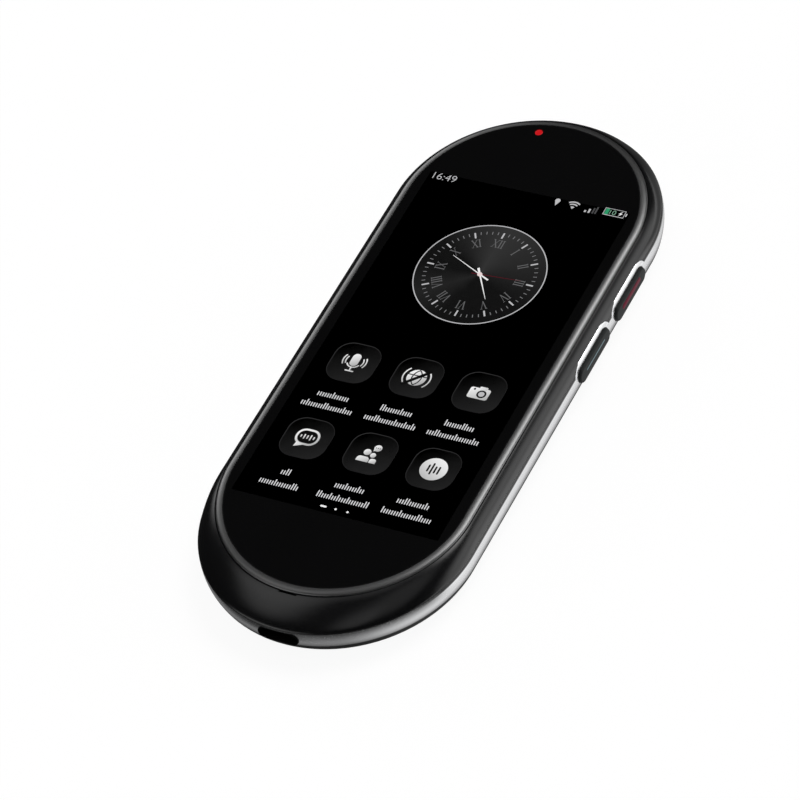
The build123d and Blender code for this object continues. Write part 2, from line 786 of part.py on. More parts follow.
with BuildPart() as lamp_guide:
    with Locations((lamp_x, camera_y, lens_foot)):
        Cylinder(lamp_guide_radius, board_foot - lamp_height - lens_foot, align=on_top)
pieces["lamp_guide"] = lamp_guide


# ---- status light ----
with BuildPart() as status_led:
    with Locations((light_x, light_y, board_top)):
        Box(led_size, led_size, led_height, align=on_top)
pieces["status_led"] = status_led

with BuildPart() as status_light_guide:
    guide_foot = board_top + led_height + led_gap
    with Locations((light_x, light_y, guide_foot)):
        Cylinder(light_radius, glass_top - light_sunk - guide_foot, align=on_top)
    with Locations((light_x, light_y, chassis_top)):
        Cylinder(light_radius + light_collar, light_collar_height, align=on_top)
pieces["status_light_guide"] = status_light_guide


# ---- lower board with the charging port ----
with BuildPart() as sub_board:
    extrude(oblong(sub_board_foot, board_width, board_length), amount=board_thickness)
    with Locations((0, sub_board_edge, sub_board_foot)):
        Box(body_width, body_length, board_thickness, align=(Align.CENTER, Align.MAX, Align.MIN),
            mode=Mode.INTERSECT)
    with Locations(*[(x, y, sub_board_foot) for x, y in sub_board_spots]):
        Cylinder(screw_radius + screw_gap, board_thickness, align=on_top, mode=Mode.SUBTRACT)
pieces["sub_board"] = sub_board

sub_screw_length = screw_head_height + board_thickness + chassis_foot - sub_board_top + screw_bite
pieces["sub_board_screws"] = screws(sub_board_spots, sub_board_foot - screw_head_height, sub_screw_length)

with BuildPart() as port_shell:
    extrude(end_pill(port_mouth, port_width, port_height), amount=-port_depth)
    extrude(end_pill(port_mouth, port_width - 2 * port_wall, port_height - 2 * port_wall),
            amount=port_wall - port_depth, mode=Mode.SUBTRACT)
pieces["port_shell"] = port_shell

with BuildPart() as port_tongue:
    block_face = port_back - port_wall - port_block
    extrude(end_pill(block_face, port_width - 2 * port_wall - port_gap,
                     port_height - 2 * port_wall - port_gap), amount=-port_block)
    with Locations((0, block_face, port_z)):
        Box(tongue_width, tongue_length, tongue_thickness, align=(Align.CENTER, Align.MAX, Align.CENTER))
pieces["port_tongue"] = port_tongue

with BuildPart() as port_contacts:
    for face in (-1, 1):
        height = port_z + face * (tongue_thickness + contact_thickness) / 2
        with Locations((0, block_face - contact_length / 2, height)):
            with GridLocations(contact_pitch, 1, contact_count, 1):
                Box(contact_width, contact_length, contact_thickness)
pieces["port_contacts"] = port_contacts


# ---- microphone under the slot at the chin ----
with BuildPart() as microphone_boot:
    with Locations((0, mic_middle, ring_top)):
        Box(boot_width, boot_length, boot_height, align=on_top)
        Box(*mic_size, align=on_top, mode=Mode.SUBTRACT)
    with Locations((0, mic_y, ring_top)):
        Cylinder(mic_hole_radius, boot_height, align=on_top, mode=Mode.SUBTRACT)
pieces["microphone_boot"] = microphone_boot

with BuildPart() as microphone:
    with Locations((0, mic_middle, ring_top)):
        Box(*mic_size, align=on_top)
pieces["microphone"] = microphone

with BuildPart() as microphone_board:
    with Locations((0, mic_middle + boot_setback, ring_top)):
        Box(*mic_board_size, mic_board_thickness, align=hung)
pieces["microphone_board"] = microphone_board


# ---- loudspeaker behind its mesh ----
with BuildPart() as speaker_mesh:
    extrude(panel(cover_floor, speaker_width - 2 * mesh_side, speaker_length - 2 * mesh_end, speaker_round,
                  0, speaker_y), amount=mesh_thickness)
pieces["speaker_mesh"] = speaker_mesh

with BuildPart() as loudspeaker:
    extrude(panel(speaker_foot, speaker_width, speaker_length, speaker_round, 0, speaker_y),
            amount=speaker_height)
    fillet(loudspeaker.faces().sort_by(Axis.Z)[-1].edges(), speaker_round / 2)
pieces["loudspeaker"] = loudspeaker


# ---- battery with its tape and lead ----
with BuildPart() as battery:
    with Locations((battery_x, battery_y, battery_top)):
        Box(battery_width, battery_length, battery_thickness, align=hung)
    fillet(battery.edges().filter_by(Axis.Y), battery_round)
pieces["battery"] = battery

with BuildPart() as battery_tape:
    with Locations((battery_x, battery_y, battery_top)):
        Box(battery_width - 2 * tape_margin, battery_length - 2 * tape_margin, tape_thickness, align=on_top)
pieces["battery_tape"] = battery_tape

lead_low = battery_top - lead_rise
lead_top = board_top + strip_thickness / 2
with BuildPart() as battery_lead:
    add(strip([(battery_end, lead_low), (battery_end + lead_bend, lead_low), (board_edge, lead_top),
               (board_edge + lead_reach, lead_top)], lead_width, strip_thickness, lead_x).part)
    with Locations((lead_x, board_edge + lead_reach - plug_size[1] / 2, board_top + strip_thickness)):
        Box(*plug_size, board_drop - strip_thickness - plug_gap, align=on_top)
pieces["battery_lead"] = battery_lead


# ---- vibration motor, aerials and the circuit that links the boards ----
with BuildPart() as vibration_motor:
    with Locations((motor_x, motor_y, chassis_foot)):
        Cylinder(motor_radius, motor_height, align=hung)
pieces["vibration_motor"] = vibration_motor


def aerial(foot, height, edge, keep):
    """A curved strip of plastic along one end of the casing, the carrier of an aerial."""
    with BuildPart() as carrier:
        extrude(oblong(foot, board_width, board_length), amount=height)
        extrude(oblong(foot, board_width - 2 * aerial_width, board_length - 2 * aerial_width),
                amount=height, mode=Mode.SUBTRACT)
        with Locations((0, edge, foot)):
            Box(body_width, body_length, height, align=(Align.CENTER, keep, Align.MIN),
                mode=Mode.INTERSECT)
    return carrier


pieces["upper_aerial"] = aerial(board_foot - aerial_height, aerial_height, brow - upper_aerial_reach,
                                Align.MIN)
aerial_foot = cover_rise((body_width - board_width) / 2) + aerial_gap
pieces["lower_aerial"] = aerial(aerial_foot, sub_board_foot - aerial_foot, chin + lower_aerial_reach,
                                Align.MAX)

link_top = chassis_foot - strip_thickness / 2
link_high = board_top + strip_thickness / 2
link_low = sub_board_top + strip_thickness / 2
link_flex = strip(
    [
        (board_edge + link_reach, link_high),
        (board_edge, link_high),
        (board_edge - link_reach, link_top),
        (sub_board_edge + link_reach, link_top),
        (sub_board_edge, link_low),
        (sub_board_edge - link_reach / 2, link_low),
    ],
    link_width, strip_thickness, link_x)
pieces["link_flex"] = link_flex


# ---- one file for each piece ----
for name, piece in pieces.items():
    piece.part.label = name
    export_step(piece.part, f"parts/{name}.step")
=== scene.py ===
# %% [markdown]
# # Dressing a handheld translator
# The solids of this handset are already built and packed, each piece in its own node. This lesson
# loads them as a fixed frame, lays smooth skins over the casing, draws the lit display, and gives
# every piece a finish. Lengths are in metres, and the origin is the middle of the handset's back.

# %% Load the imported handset
import json
import math
import bpy
import numpy as np
from mathutils import Matrix, Vector, geometry


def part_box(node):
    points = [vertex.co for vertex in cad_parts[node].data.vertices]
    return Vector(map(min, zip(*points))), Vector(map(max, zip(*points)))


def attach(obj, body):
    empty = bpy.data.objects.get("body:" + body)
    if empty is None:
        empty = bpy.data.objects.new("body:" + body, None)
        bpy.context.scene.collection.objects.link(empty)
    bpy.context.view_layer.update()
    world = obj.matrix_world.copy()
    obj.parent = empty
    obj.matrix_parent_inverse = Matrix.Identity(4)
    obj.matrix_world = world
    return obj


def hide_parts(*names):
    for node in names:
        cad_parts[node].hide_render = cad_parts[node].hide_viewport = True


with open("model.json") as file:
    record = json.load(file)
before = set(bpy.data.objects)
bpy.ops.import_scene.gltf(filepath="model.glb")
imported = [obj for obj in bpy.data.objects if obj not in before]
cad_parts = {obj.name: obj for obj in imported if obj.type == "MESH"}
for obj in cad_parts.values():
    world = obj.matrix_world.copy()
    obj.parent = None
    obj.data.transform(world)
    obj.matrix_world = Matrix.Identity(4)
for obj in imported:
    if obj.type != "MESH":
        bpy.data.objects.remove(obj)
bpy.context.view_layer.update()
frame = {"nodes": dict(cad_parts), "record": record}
nodes = frame["nodes"]
MM = 0.001

# %% [markdown]
# ## Measures
# The casing is a stack of oblongs, flat outlines with half-round ends. Their sizes are the real
# ones, so each new skin lies exactly on the solid that it stands for.

# %% Sizes of the casing
ring_low, ring_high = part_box("side_ring")
bezel_low, bezel_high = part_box("front_bezel")
glass_low, glass_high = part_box("cover_glass")
body_length = ring_high.y - ring_low.y
body_width = body_length - 86.9 * MM      # the straight part of each flank is 86.9 mm long
ring_foot = ring_low.z
ring_top = bezel_low.z
ring_waist = ring_foot + 2.4 * MM
ring_wall = 2.3 * MM
frame_foot = ring_top - 0.9 * MM       # where the keys' silver frames leave the ring
foot_inset = 0.35 * MM
top_inset = 0.1 * MM
bezel_top = bezel_high.z
bezel_inset = 0.2 * MM
glass_top = glass_high.z
glass_foot = glass_low.z
glass_width = glass_high.x - glass_low.x
glass_length = glass_high.y - glass_low.y
glass_shift = (glass_high.y + glass_low.y) / 2
glass_gap = 0.12 * MM
bezel_lip = 0.1 * MM
rim_width = 1.8 * MM
key_z = ring_foot + 2.15 * MM
key_pill = (14.4 * MM, 3.45 * MM)
key_gap = 0.12 * MM
frame_pill = (17.0 * MM, 6.85 * MM)
frame_proud = 0.12 * MM
print("waist", round(body_width / MM, 2), "x", round(body_length / MM, 2), "mm")

# %% [markdown]
# ## How a piece is made
# Each new piece is a set of points worked out with numpy and a list of faces that join them. One
# short function turns both into a mesh, shades it smooth with creases where it turns sharply, ties
# it to a body of the handset, and hides the plain solid that it stands for.

# %% Pieces from points and faces
def quads(rows, columns, closed=True):
    """Faces between neighbouring rows of a grid of points. Row r, column c is point r * columns + c.
    When closed, the last column is joined to the first."""
    row = np.arange(rows - 1)[:, None] * columns
    column = np.arange(columns if closed else columns - 1)[None, :]
    after = (column + 1) % columns
    return np.stack([row + column, row + after, row + columns + after, row + columns + column],
                    axis=-1).reshape(-1, 4)


def make_mesh(name, points, faces, crease=35.0):
    """A mesh from an array of points and a list of faces, smooth where faces meet below the crease
    angle in degrees."""
    mesh = bpy.data.meshes.new(name)
    mesh.from_pydata(points.reshape(-1, 3).tolist(), [], [list(map(int, face)) for face in faces])
    mesh.validate()
    smooth(mesh, crease)
    thing = bpy.data.objects.new(name, mesh)
    bpy.context.scene.collection.objects.link(thing)
    return thing


def smooth(mesh, crease):
    """Smooth shading over the whole mesh, with sharp edges past the crease angle."""
    mesh.polygons.foreach_set("use_smooth", np.ones(len(mesh.polygons), bool))
    mesh.set_sharp_from_angle(angle=math.radians(crease))
    mesh.update()


def dress(thing, material, body="handset", replaces=()):
    """Gives a new piece its finish and its body, and hides the solids that it stands for."""
    thing.data.materials.clear()
    thing.data.materials.append(material)
    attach(thing, body)
    if replaces:
        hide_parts(*replaces)
    print(f"{thing.name}: {len(thing.data.polygons)} faces on {body}")
    return thing


# %% [markdown]
# ## Oblongs and pills
# An oblong is a circle cut in half and pulled apart: both half-round ends keep the circle's
# angles, and the two long sides join them. Written for whole arrays at once, one call gives every
# ring of a shell, from its foot to its top.

# %% Outlines as arrays
def end_angles(steps):
    """Angles round an oblong and which half-round end each belongs to. The upper end runs from 0 to
    180 degrees, the lower one on to 360."""
    even = np.linspace(0.0, 180.0, steps + 1)
    angles = np.radians(np.concatenate([even, even + 180.0]))
    return angles, np.repeat([1.0, -1.0], len(even))


def oblongs(width, length, shift, height, turn):
    """Rings of an oblong shell. x is half the width times the cosine of the angle; y is half the
    width times its sine, moved out by half the straight length, and the ring's shift."""
    angles, ends = turn
    width, length, shift, height = (np.atleast_1d(np.asarray(v, float))[:, None]
                                    for v in np.broadcast_arrays(width, length, shift, height))
    x = width / 2 * np.cos(angles)
    y = shift + width / 2 * np.sin(angles) + ends * (length - width) / 2
    z = height + 0.0 * x
    return np.stack([x, y, z], axis=-1)


def pill_points(length, height, steps=28):
    """A pill lying along its first axis, as pairs (along, up): half circles of half the height at
    both ends of a straight part."""
    half = np.linspace(-90.0, 90.0, steps + 1)
    angles = np.radians(np.concatenate([half, half + 180.0]))
    ends = np.repeat([1.0, -1.0], steps + 1)
    return np.stack([height / 2 * np.cos(angles) + ends * (length - height) / 2,
                     height / 2 * np.sin(angles)], axis=-1)


def side_pills(x, length, height, middle):
    """Pills standing on the right flank, one ring for each x, with their middle at key height."""
    x, length, height = (np.atleast_1d(np.asarray(v, float))
                         for v in np.broadcast_arrays(x, length, height))
    rings = [np.column_stack([np.full(len(p), across), p[:, 0] + middle, p[:, 1] + key_z])
             for across, p in zip(x, map(pill_points, length, height))]
    return np.stack(rings)


def closed_stack(name, rings, crease=35.0):
    """A solid from a stack of rings, closed by one face at each end."""
    rows, columns = rings.shape[:2]
    faces = [*quads(rows, columns), np.arange(columns)[::-1], np.arange(columns) + (rows - 1) * columns]
    return make_mesh(name, rings, faces, crease)


# %% [markdown]
# ## Cutting openings
# Key openings and the port are cut with Boolean modifiers, because the cut has to follow a wall
# that already curves. The cutters are pills whose mouth widens a little, which leaves a fine
# chamfer round every opening. Each modifier is applied at once and its cutter is thrown away.

# %% Boolean cuts
def cut(thing, cutters, crease=35.0):
    """Takes each cutter out of a piece, applies the result and removes the cutters."""
    for cutter in cutters:
        modifier = thing.modifiers.new("cut", "BOOLEAN")
        modifier.operation = "DIFFERENCE"
        modifier.solver = "EXACT"
        modifier.object = cutter
    graph = bpy.context.evaluated_depsgraph_get()
    whole = bpy.data.meshes.new_from_object(thing.evaluated_get(graph))
    thing.modifiers.clear()
    thing.data = whole
    whole.name = thing.name
    smooth(whole, crease)
    for cutter in cutters:
        bpy.data.objects.remove(cutter)
    return thing


# %% [markdown]
# ## Finishes
# Real finishes are never one flat colour: moulded plastic has a fine grain, metal is blasted or
# brushed, and glass carries faint wipe marks that show only in its gloss. One builder makes them
# all from the Principled shader, with noise in object coordinates driving roughness, a little of
# the colour, and a bump. Numbers that are the same all over stay on the shader's own sockets. A
# short helper adds each node with its inputs, so a finish reads as a list of steps.

# %% A builder of finishes
def add(tree, kind, wires=None, **choices):
    """Adds a node. wires names its inputs: each takes a socket to be linked to, or a value of its
    own. choices are the node's settings, such as its operation."""
    node = tree.nodes.new("ShaderNode" + kind)
    for choice, value in choices.items():
        setattr(node, choice, value)
    for place, value in (wires or {}).items():
        if isinstance(value, bpy.types.NodeSocket):
            tree.links.new(value, node.inputs[place])
        else:
            node.inputs[place].default_value = value
    return node


def finish(name, colour, roughness, metal=0.0, grain=900.0, rough_spread=0.05, tone_spread=0.1,
           bump=0.1, stretch=(1.0, 1.0, 1.0), **sockets):
    """A Principled material. Noise of grain cells per metre moves roughness up and down by
    rough_spread, scales the colour by up to tone_spread, and lifts the surface by bump."""
    material = bpy.data.materials.new(name)
    material.use_nodes = True
    tree = material.node_tree
    shader = tree.nodes["Principled BSDF"]
    place = add(tree, "TexCoord").outputs["Object"]
    mapping = add(tree, "Mapping", {"Vector": place, "Scale": stretch})
    noise = add(tree, "TexNoise", {"Vector": mapping.outputs["Vector"], "Scale": grain, "Detail": 4.0})
    noise = noise.outputs["Fac"]
    rough = add(tree, "MapRange", {"Value": noise, "From Min": 0.3, "From Max": 0.7,
                                   "To Min": max(0.0, roughness - rough_spread),
                                   "To Max": roughness + rough_spread})
    tree.links.new(rough.outputs["Result"], shader.inputs["Roughness"])
    tone = add(tree, "ValToRGB", {"Fac": noise})
    for element, at, share in zip(tone.color_ramp.elements, (0.3, 0.7), (1 - tone_spread, 1 + tone_spread)):
        element.position = at
        element.color = (*[min(1.0, c * share) for c in colour], 1)
    tree.links.new(tone.outputs["Color"], shader.inputs["Base Color"])
    if bump:
        lift = add(tree, "Bump", {"Strength": bump, "Distance": 0.02 * MM, "Height": noise})
        tree.links.new(lift.outputs["Normal"], shader.inputs["Normal"])
    shader.inputs["Metallic"].default_value = metal
    for socket, value in sockets.items():
        shader.inputs[socket.replace("_", " ")].default_value = value
    return material


def opened(material):
    """A finish's tree, its shader, and the socket of its object coordinates."""
    tree = material.node_tree
    return tree, tree.nodes["Principled BSDF"], tree.nodes["Texture Coordinate"].outputs["Object"]


def joined(tree, operation, *values):
    """One value from a few, by a node of arithmetic."""
    return add(tree, "Math", dict(enumerate(values)), operation=operation).outputs["Value"]


def blend(material, socket, share, value):
    """Mixes a number or a colour, by a share, over what is linked to a shader's socket."""
    tree, shader, _ = opened(material)
    under = shader.inputs[socket].links[0].from_socket
    mix = add(tree, "Mix", {"Factor": share, "A": under, "B": value},
              data_type="FLOAT" if isinstance(value, float) else "RGBA")
    tree.links.new(mix.outputs["Result"], shader.inputs[socket])


def glow(name, colour, strength, shade=None):
    """A lit mark: dark gloss that gives off its own colour. shade is (across, up, least): the light
    falls to a share least at the far side from that direction, by the mark's own coordinates."""
    material = finish(name, (0.004, 0.004, 0.004), 0.3, grain=400.0, rough_spread=0.03, bump=0.0,
                      Specular_IOR_Level=0.1, Emission_Color=(*colour, 1.0), Emission_Strength=strength)
    if shade:
        across, up, least = shade
        tree, shader, _ = opened(material)
        spot = add(tree, "Attribute", attribute_name="spot")
        along = add(tree, "VectorMath", {0: spot.outputs["Vector"], 1: (across, up, 0.0)},
                    operation="DOT_PRODUCT")
        fade = add(tree, "MapRange", {"Value": along.outputs["Value"], "From Min": -1.0,
                                      "To Min": strength * least, "To Max": strength})
        tree.links.new(fade.outputs["Result"], shader.inputs["Emission Strength"])
    return material


silver, ring_silver_with_painted_shade = (finish(name, (0.86, 0.865, 0.875), 0.24, metal=1.0, grain=5000.0,
                              rough_spread=0.04, tone_spread=0.02, bump=0.12)
                       for name in ("blasted_silver", "ring_silver_with_painted_shade"))
# how far along X the ring's painted shadow fades in
painted_shadow_blend = 3.5 * MM         # how far along X a tuck fades in


def paint_tuck_shadow(material, low, high, tone, from_x):
    """Paints shade into a finish: darkens it to a tone between two heights, a painted shadow as
    where one piece tucks under the next, on the side past a given x."""
    tree, _, place = opened(material)
    split = add(tree, "SeparateXYZ", {"Vector": place})
    shares = [add(tree, "MapRange", {"Value": split.outputs[axis], "From Min": start, "From Max": end})
              for axis, start, end in (("Z", low, high), ("X", from_x, from_x + painted_shadow_blend))]
    share = joined(tree, "MULTIPLY", *[node.outputs["Result"] for node in shares])
    blend(material, "Base Color", share, (tone, tone, tone, 1.0))


# Painted shade on the ring: a thin dark band at its very top all round, and a wider painted shadow along
# the top of the right flank, under the front frame.
paint_tuck_shadow(ring_silver_with_painted_shade, ring_top - 0.25 * MM, ring_top - 0.1 * MM, 0.04, -body_width)
paint_tuck_shadow(ring_silver_with_painted_shade, ring_top - 0.85 * MM, ring_top - 0.55 * MM, 0.05, 24 * MM)
dark_gloss = finish("dark_gloss_lacquer", (0.0045, 0.0045, 0.005), 0.2, grain=2500.0,
                    rough_spread=0.03, tone_spread=0.2, bump=0.03)
print("made", silver.name, "and", dark_gloss.name)

# %% [markdown]
# ## The silver ring
# The waist of the handset is a metal ring, widest a little above its middle. Its section is one
# closed outline: the swelling outer face with two softened edges, the ledge that the front frame
# clamps, and the plain inner wall. That section is carried round the oblong.

# %% Ring
round_turn = end_angles(64)
edge_round = 0.12 * MM


def ring_inset(height):
    """How far the ring's face lies in from the waist: a parabola below the waist and another above."""
    below = foot_inset * ((ring_waist - height) / (ring_waist - ring_foot)) ** 2
    above = top_inset * ((height - ring_waist) / (ring_top - ring_waist)) ** 2
    return np.where(height < ring_waist, below, above)


def ring_section():
    """Pairs (inset, height) round the ring's closed section, from its outer foot up and back."""
    turn = np.radians(np.linspace(0, 90, 5))
    face = np.linspace(ring_foot + edge_round, ring_top - edge_round, 17)
    foot_edge = np.column_stack([ring_inset(ring_foot) + edge_round * (1 - np.sin(turn)),
                                 ring_foot + edge_round * (1 - np.cos(turn))])
    top_edge = np.column_stack([ring_inset(ring_top) + edge_round * (1 - np.cos(turn)),
                                ring_top - edge_round * (1 - np.sin(turn))])
    ledge = 1.8 * MM
    ledge_foot = ring_top - 0.8 * MM
    inner = np.array([[ring_wall + ledge, ring_top], [ring_wall + ledge, ledge_foot],
                      [ring_wall, ledge_foot], [ring_wall, ring_foot]])
    return np.vstack([foot_edge[:-1], np.column_stack([ring_inset(face), face]), top_edge[1:], inner])


def tube(name, rings):
    """A closed tube whose last ring is joined back to its first."""
    rows, columns = rings.shape[:2]
    return make_mesh(name, rings, quads(rows + 1, columns) % (rows * columns))


def key_mouth(middle, grow=0.0):
    """The cutter of a key's opening, a pill that flares where it leaves the ring."""
    x = (body_width / 2 - np.array([3.4, 0.22, -0.1, -2.0]) * MM)
    flare = np.array([0.0, 0.0, 0.1, 0.1]) * MM
    return closed_stack("key_mouth", side_pills(x, key_pill[0] + 2 * (key_gap + grow + flare),
                                                key_pill[1] + 2 * (key_gap + grow + flare), middle))


def box_between(name, low, high):
    """A box between two corners, as two square rings."""
    corners = np.array([[low[0], low[1]], [high[0], low[1]], [high[0], high[1]], [low[0], high[1]]])
    rings = np.stack([np.column_stack([corners, np.full(4, z)]) for z in (low[2], high[2])])
    return closed_stack(name, rings)


key_middles = [sum(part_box(f"{side}_key_cap")[k].y for k in (0, 1)) / 2 for side in ("upper", "lower")]
port_low, port_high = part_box("port_shell")
port_z = (port_low.z + port_high.z) / 2


def port_pills(y, wider, way):
    """Pills across the port, one ring for each y, wider than its shell all round. way is 1 or -1 and
    says which way round each ring runs."""
    size = np.array([port_high.x - port_low.x, port_high.z - port_low.z])
    pills = [pill_points(*(size + 2 * grow)) for grow in wider]
    return np.stack([np.column_stack([way * pill[:, 0], np.full(len(pill), place), pill[:, 1] + port_z])
                     for place, pill in zip(y, pills)])


def port_mouth():
    """The cutter of the port's opening, a pill along Y that flares at the ring's face."""
    y = ring_low.y + np.array([9.0, 0.25, -0.1, -2.0]) * MM
    return closed_stack("port_mouth", port_pills(y, np.array([0.08, 0.08, 0.14, 0.14]) * MM, -1)[::-1])


inset, height = ring_section().T
ring = tube("waist_ring", oblongs(body_width - 2 * inset, body_length - 2 * inset, 0.0, height, round_turn))
key_centre = sum(key_middles) / 2
bay_half = (key_middles[0] - key_middles[1] + key_pill[0]) / 2 + 1.9 * MM
key_bay = box_between("key_bay", (body_width / 2 - 6.0 * MM, key_centre - bay_half, frame_foot),
                      (body_width / 2 - ring_wall, key_centre + bay_half, ring_top + 0.1 * MM))
cut(ring, [key_bay, *map(key_mouth, key_middles), port_mouth()])
dress(ring, ring_silver_with_painted_shade, replaces=["side_ring"])

# %% [markdown]
# The port's tunnel through the ring is lined with a thin black skin, flush with the silver, so the
# opening reads as one dark slot: painted shade for the dark inside of the opening. It is a
# thin-walled pill: an outer skin, and an inner one back.

# %% Port lining
port_black = finish("port_black", (0.004, 0.004, 0.004), 0.6, grain=2500.0, bump=0.1,
                    Specular_IOR_Level=0.1)
lining_y = ring_low.y + np.array([0.06, 0.06, 3.0, 3.0]) * MM
lining = port_pills(lining_y, np.array([0.04, -0.1, -0.1, 0.04]) * MM, 1)
dress(tube("port_painted_shade_lining", lining), port_black)

# %% [markdown]
# ## The dark front frame
# From the ring the casing swells in towards the glass. Along the flanks it stays upright for most
# of its height and then rolls over; at the chin and the brow it is a long even slope, with a small
# shoulder next to the lip. Powers of the height say that: a high one for the width, one a little
# above 1 for the length, and a very high one for the shoulder.

# %% Front frame
top_width = glass_width + 2 * (glass_gap + bezel_lip)
top_length = glass_length + 2 * (glass_gap + bezel_lip)
foot_width = body_width - 2 * bezel_inset
foot_length = body_length - 2 * bezel_inset
side_bulge = 3.2
end_bulge = 1.24
shoulder = 0.06               # share of the slope that rolls over close to the lip


def front_outline(rise):
    """Width, length and shift of the front frame at a share of its height from 0 to 1."""
    across = 1 - rise ** side_bulge
    along = 1 - (1 - shoulder) * rise ** end_bulge - shoulder * rise ** 12
    return (top_width + (foot_width - top_width) * across,
            top_length + (foot_length - top_length) * along,
            glass_shift * (1 - along))


def front_frame_rings(turn):
    """Rings of the front frame: up its outer face, over the narrow lip beside the glass, down the
    wall of the joint and the seat, and back under to the ring."""
    rise = np.concatenate([np.linspace(0, 0.16, 7), np.linspace(0.2, 0.985, 28)])
    width, length, shift = front_outline(rise)
    height = ring_top + (bezel_top - ring_top) * rise
    joint = bezel_lip + np.array([-0.02, 0.0, 0.0, 1.5, 1.5]) * MM
    joint_height = np.array([bezel_top, bezel_top - 0.03 * MM, glass_foot - 0.1 * MM,
                             glass_foot - 0.1 * MM, ring_top])
    inset = np.concatenate([[0.0], joint])
    width = np.concatenate([width, top_width - 2 * inset])
    length = np.concatenate([length, top_length - 2 * inset])
    shift = np.concatenate([shift, np.full(len(inset), glass_shift)])
    height = np.concatenate([height, [bezel_top], joint_height])
    return oblongs(width, length, shift, height, turn)


pocket_gap = 0.05 * MM


def frame_pocket(middle):
    """The cutter that leaves room in the front frame for the silver frame of a key."""
    x = np.array([body_width / 2 - ring_wall - pocket_gap, body_width / 2 + 2 * MM])
    size = [extent + 2 * pocket_gap for extent in frame_pill]
    return closed_stack("frame_pocket", side_pills(x, *size, middle))


slot_half = 2.0 * MM
slot_foot = glass_low.y - glass_gap - 0.4 * MM
mic_slot = box_between("mic_slot", (-slot_half, slot_foot, bezel_top - 1.0 * MM),
                       (slot_half, glass_low.y, bezel_top + 1.0 * MM))
front = tube("front_frame", front_frame_rings(round_turn))
cut(front, [*map(frame_pocket, key_middles), mic_slot], 20.0)
dress(front, dark_gloss, replaces=["front_bezel"])

# %% [markdown]
# ## Silver frames of the keys
# Round each key the ring sends up a low silver frame that climbs the front frame. Between an outer
# pill and the key's opening it is a band, so its points are pills blended from one to the other,
# and only the part above the ring is made. It follows the front frame's swell, a little proud.

# %% Key frames
hair = 0.02 * MM
hair_blend = 0.15 * MM


def silver_face(height):
    """x of the silver surface at a height: a hair over the ring's face below the ring's top, and
    above it the front frame's face plus the frame's own height."""
    rise = np.clip((height - ring_top) / (bezel_top - ring_top), 0, 1)
    above = front_outline(rise)[0] / 2 + frame_proud
    near = np.clip((height - frame_foot) / hair_blend, 0, 1)
    below = body_width / 2 - ring_inset(height) + near * hair
    return np.where(height < ring_top, below, above)


def key_frame(name, middle):
    """A band between two pills, from the ring's top up and over the key. Rows go across the band's
    closed section, from the sunk outer edge over the face and the soft inner edge to the back."""
    across = np.array([0, 0, .03, .07, .12, .3, .5, .7, .82, .9, .95, .98, 1, 1, 1, 0.5])
    sink = np.array([.72, .12, .05, .015, 0, 0, 0, 0, 0, .015, .06, .15, .26, .72, 1.32, 1.32]) * MM
    inner = (key_pill[0] + 2 * key_gap, key_pill[1] + 2 * key_gap)
    length = frame_pill[0] + (inner[0] - frame_pill[0]) * across
    height = frame_pill[1] + (inner[1] - frame_pill[1]) * across
    start = np.arcsin(np.clip((frame_foot - key_z) / (height / 2), 0, 0.999))
    share = np.linspace(0, 1, 25)
    near = start[:, None] + (math.pi / 2 - start)[:, None] * share
    angle = np.concatenate([near, math.pi - near[:, ::-1]], axis=1)
    ends = np.repeat([1.0, -1.0], len(share))
    y = height[:, None] / 2 * np.cos(angle) + (length - height)[:, None] / 2 * ends
    z = height[:, None] / 2 * np.sin(angle)
    x = silver_face(z + key_z) - sink[:, None]
    grid = np.stack([x, y + middle, z + key_z], axis=-1)
    rows, columns = grid.shape[:2]
    loop = np.concatenate([grid, grid[:1]])
    faces = quads(len(loop), columns, closed=False) % (rows * columns)
    first = np.arange(rows) * columns
    return make_mesh(name, grid, [*faces, first, (first + columns - 1)[::-1]], 40)


for side, middle in zip(("upper", "lower"), key_middles):
    dress(key_frame(f"{side}_key_frame", middle), silver)

# %% [markdown]
# ## The cover glass
# The glass is one slab with a softly rounded rim, a quarter of an ellipse 1.8 mm wide and 0.6 mm
# high. It is printed black behind, so from outside it reads as black gloss with the lit display in
# it. The flat face has one small hole, where the status light looks out.

# %% Glass
rim_high = glass_top - bezel_top
rim_roughness = 0.36
light_low, light_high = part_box("status_light_guide")
led_low, led_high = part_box("status_led")
light_x = (led_low.x + led_high.x) / 2
light_y = (led_low.y + led_high.y) / 2
light_radius = 0.82 * MM
light_hole = light_radius + 0.08 * MM
hole_steps = 32


def circle(x, y, radius, steps=hole_steps):
    """Points round a circle, as pairs."""
    turn = np.linspace(0, 2 * math.pi, steps, endpoint=False)
    return np.column_stack([x + radius * np.cos(turn), y + radius * np.sin(turn)])


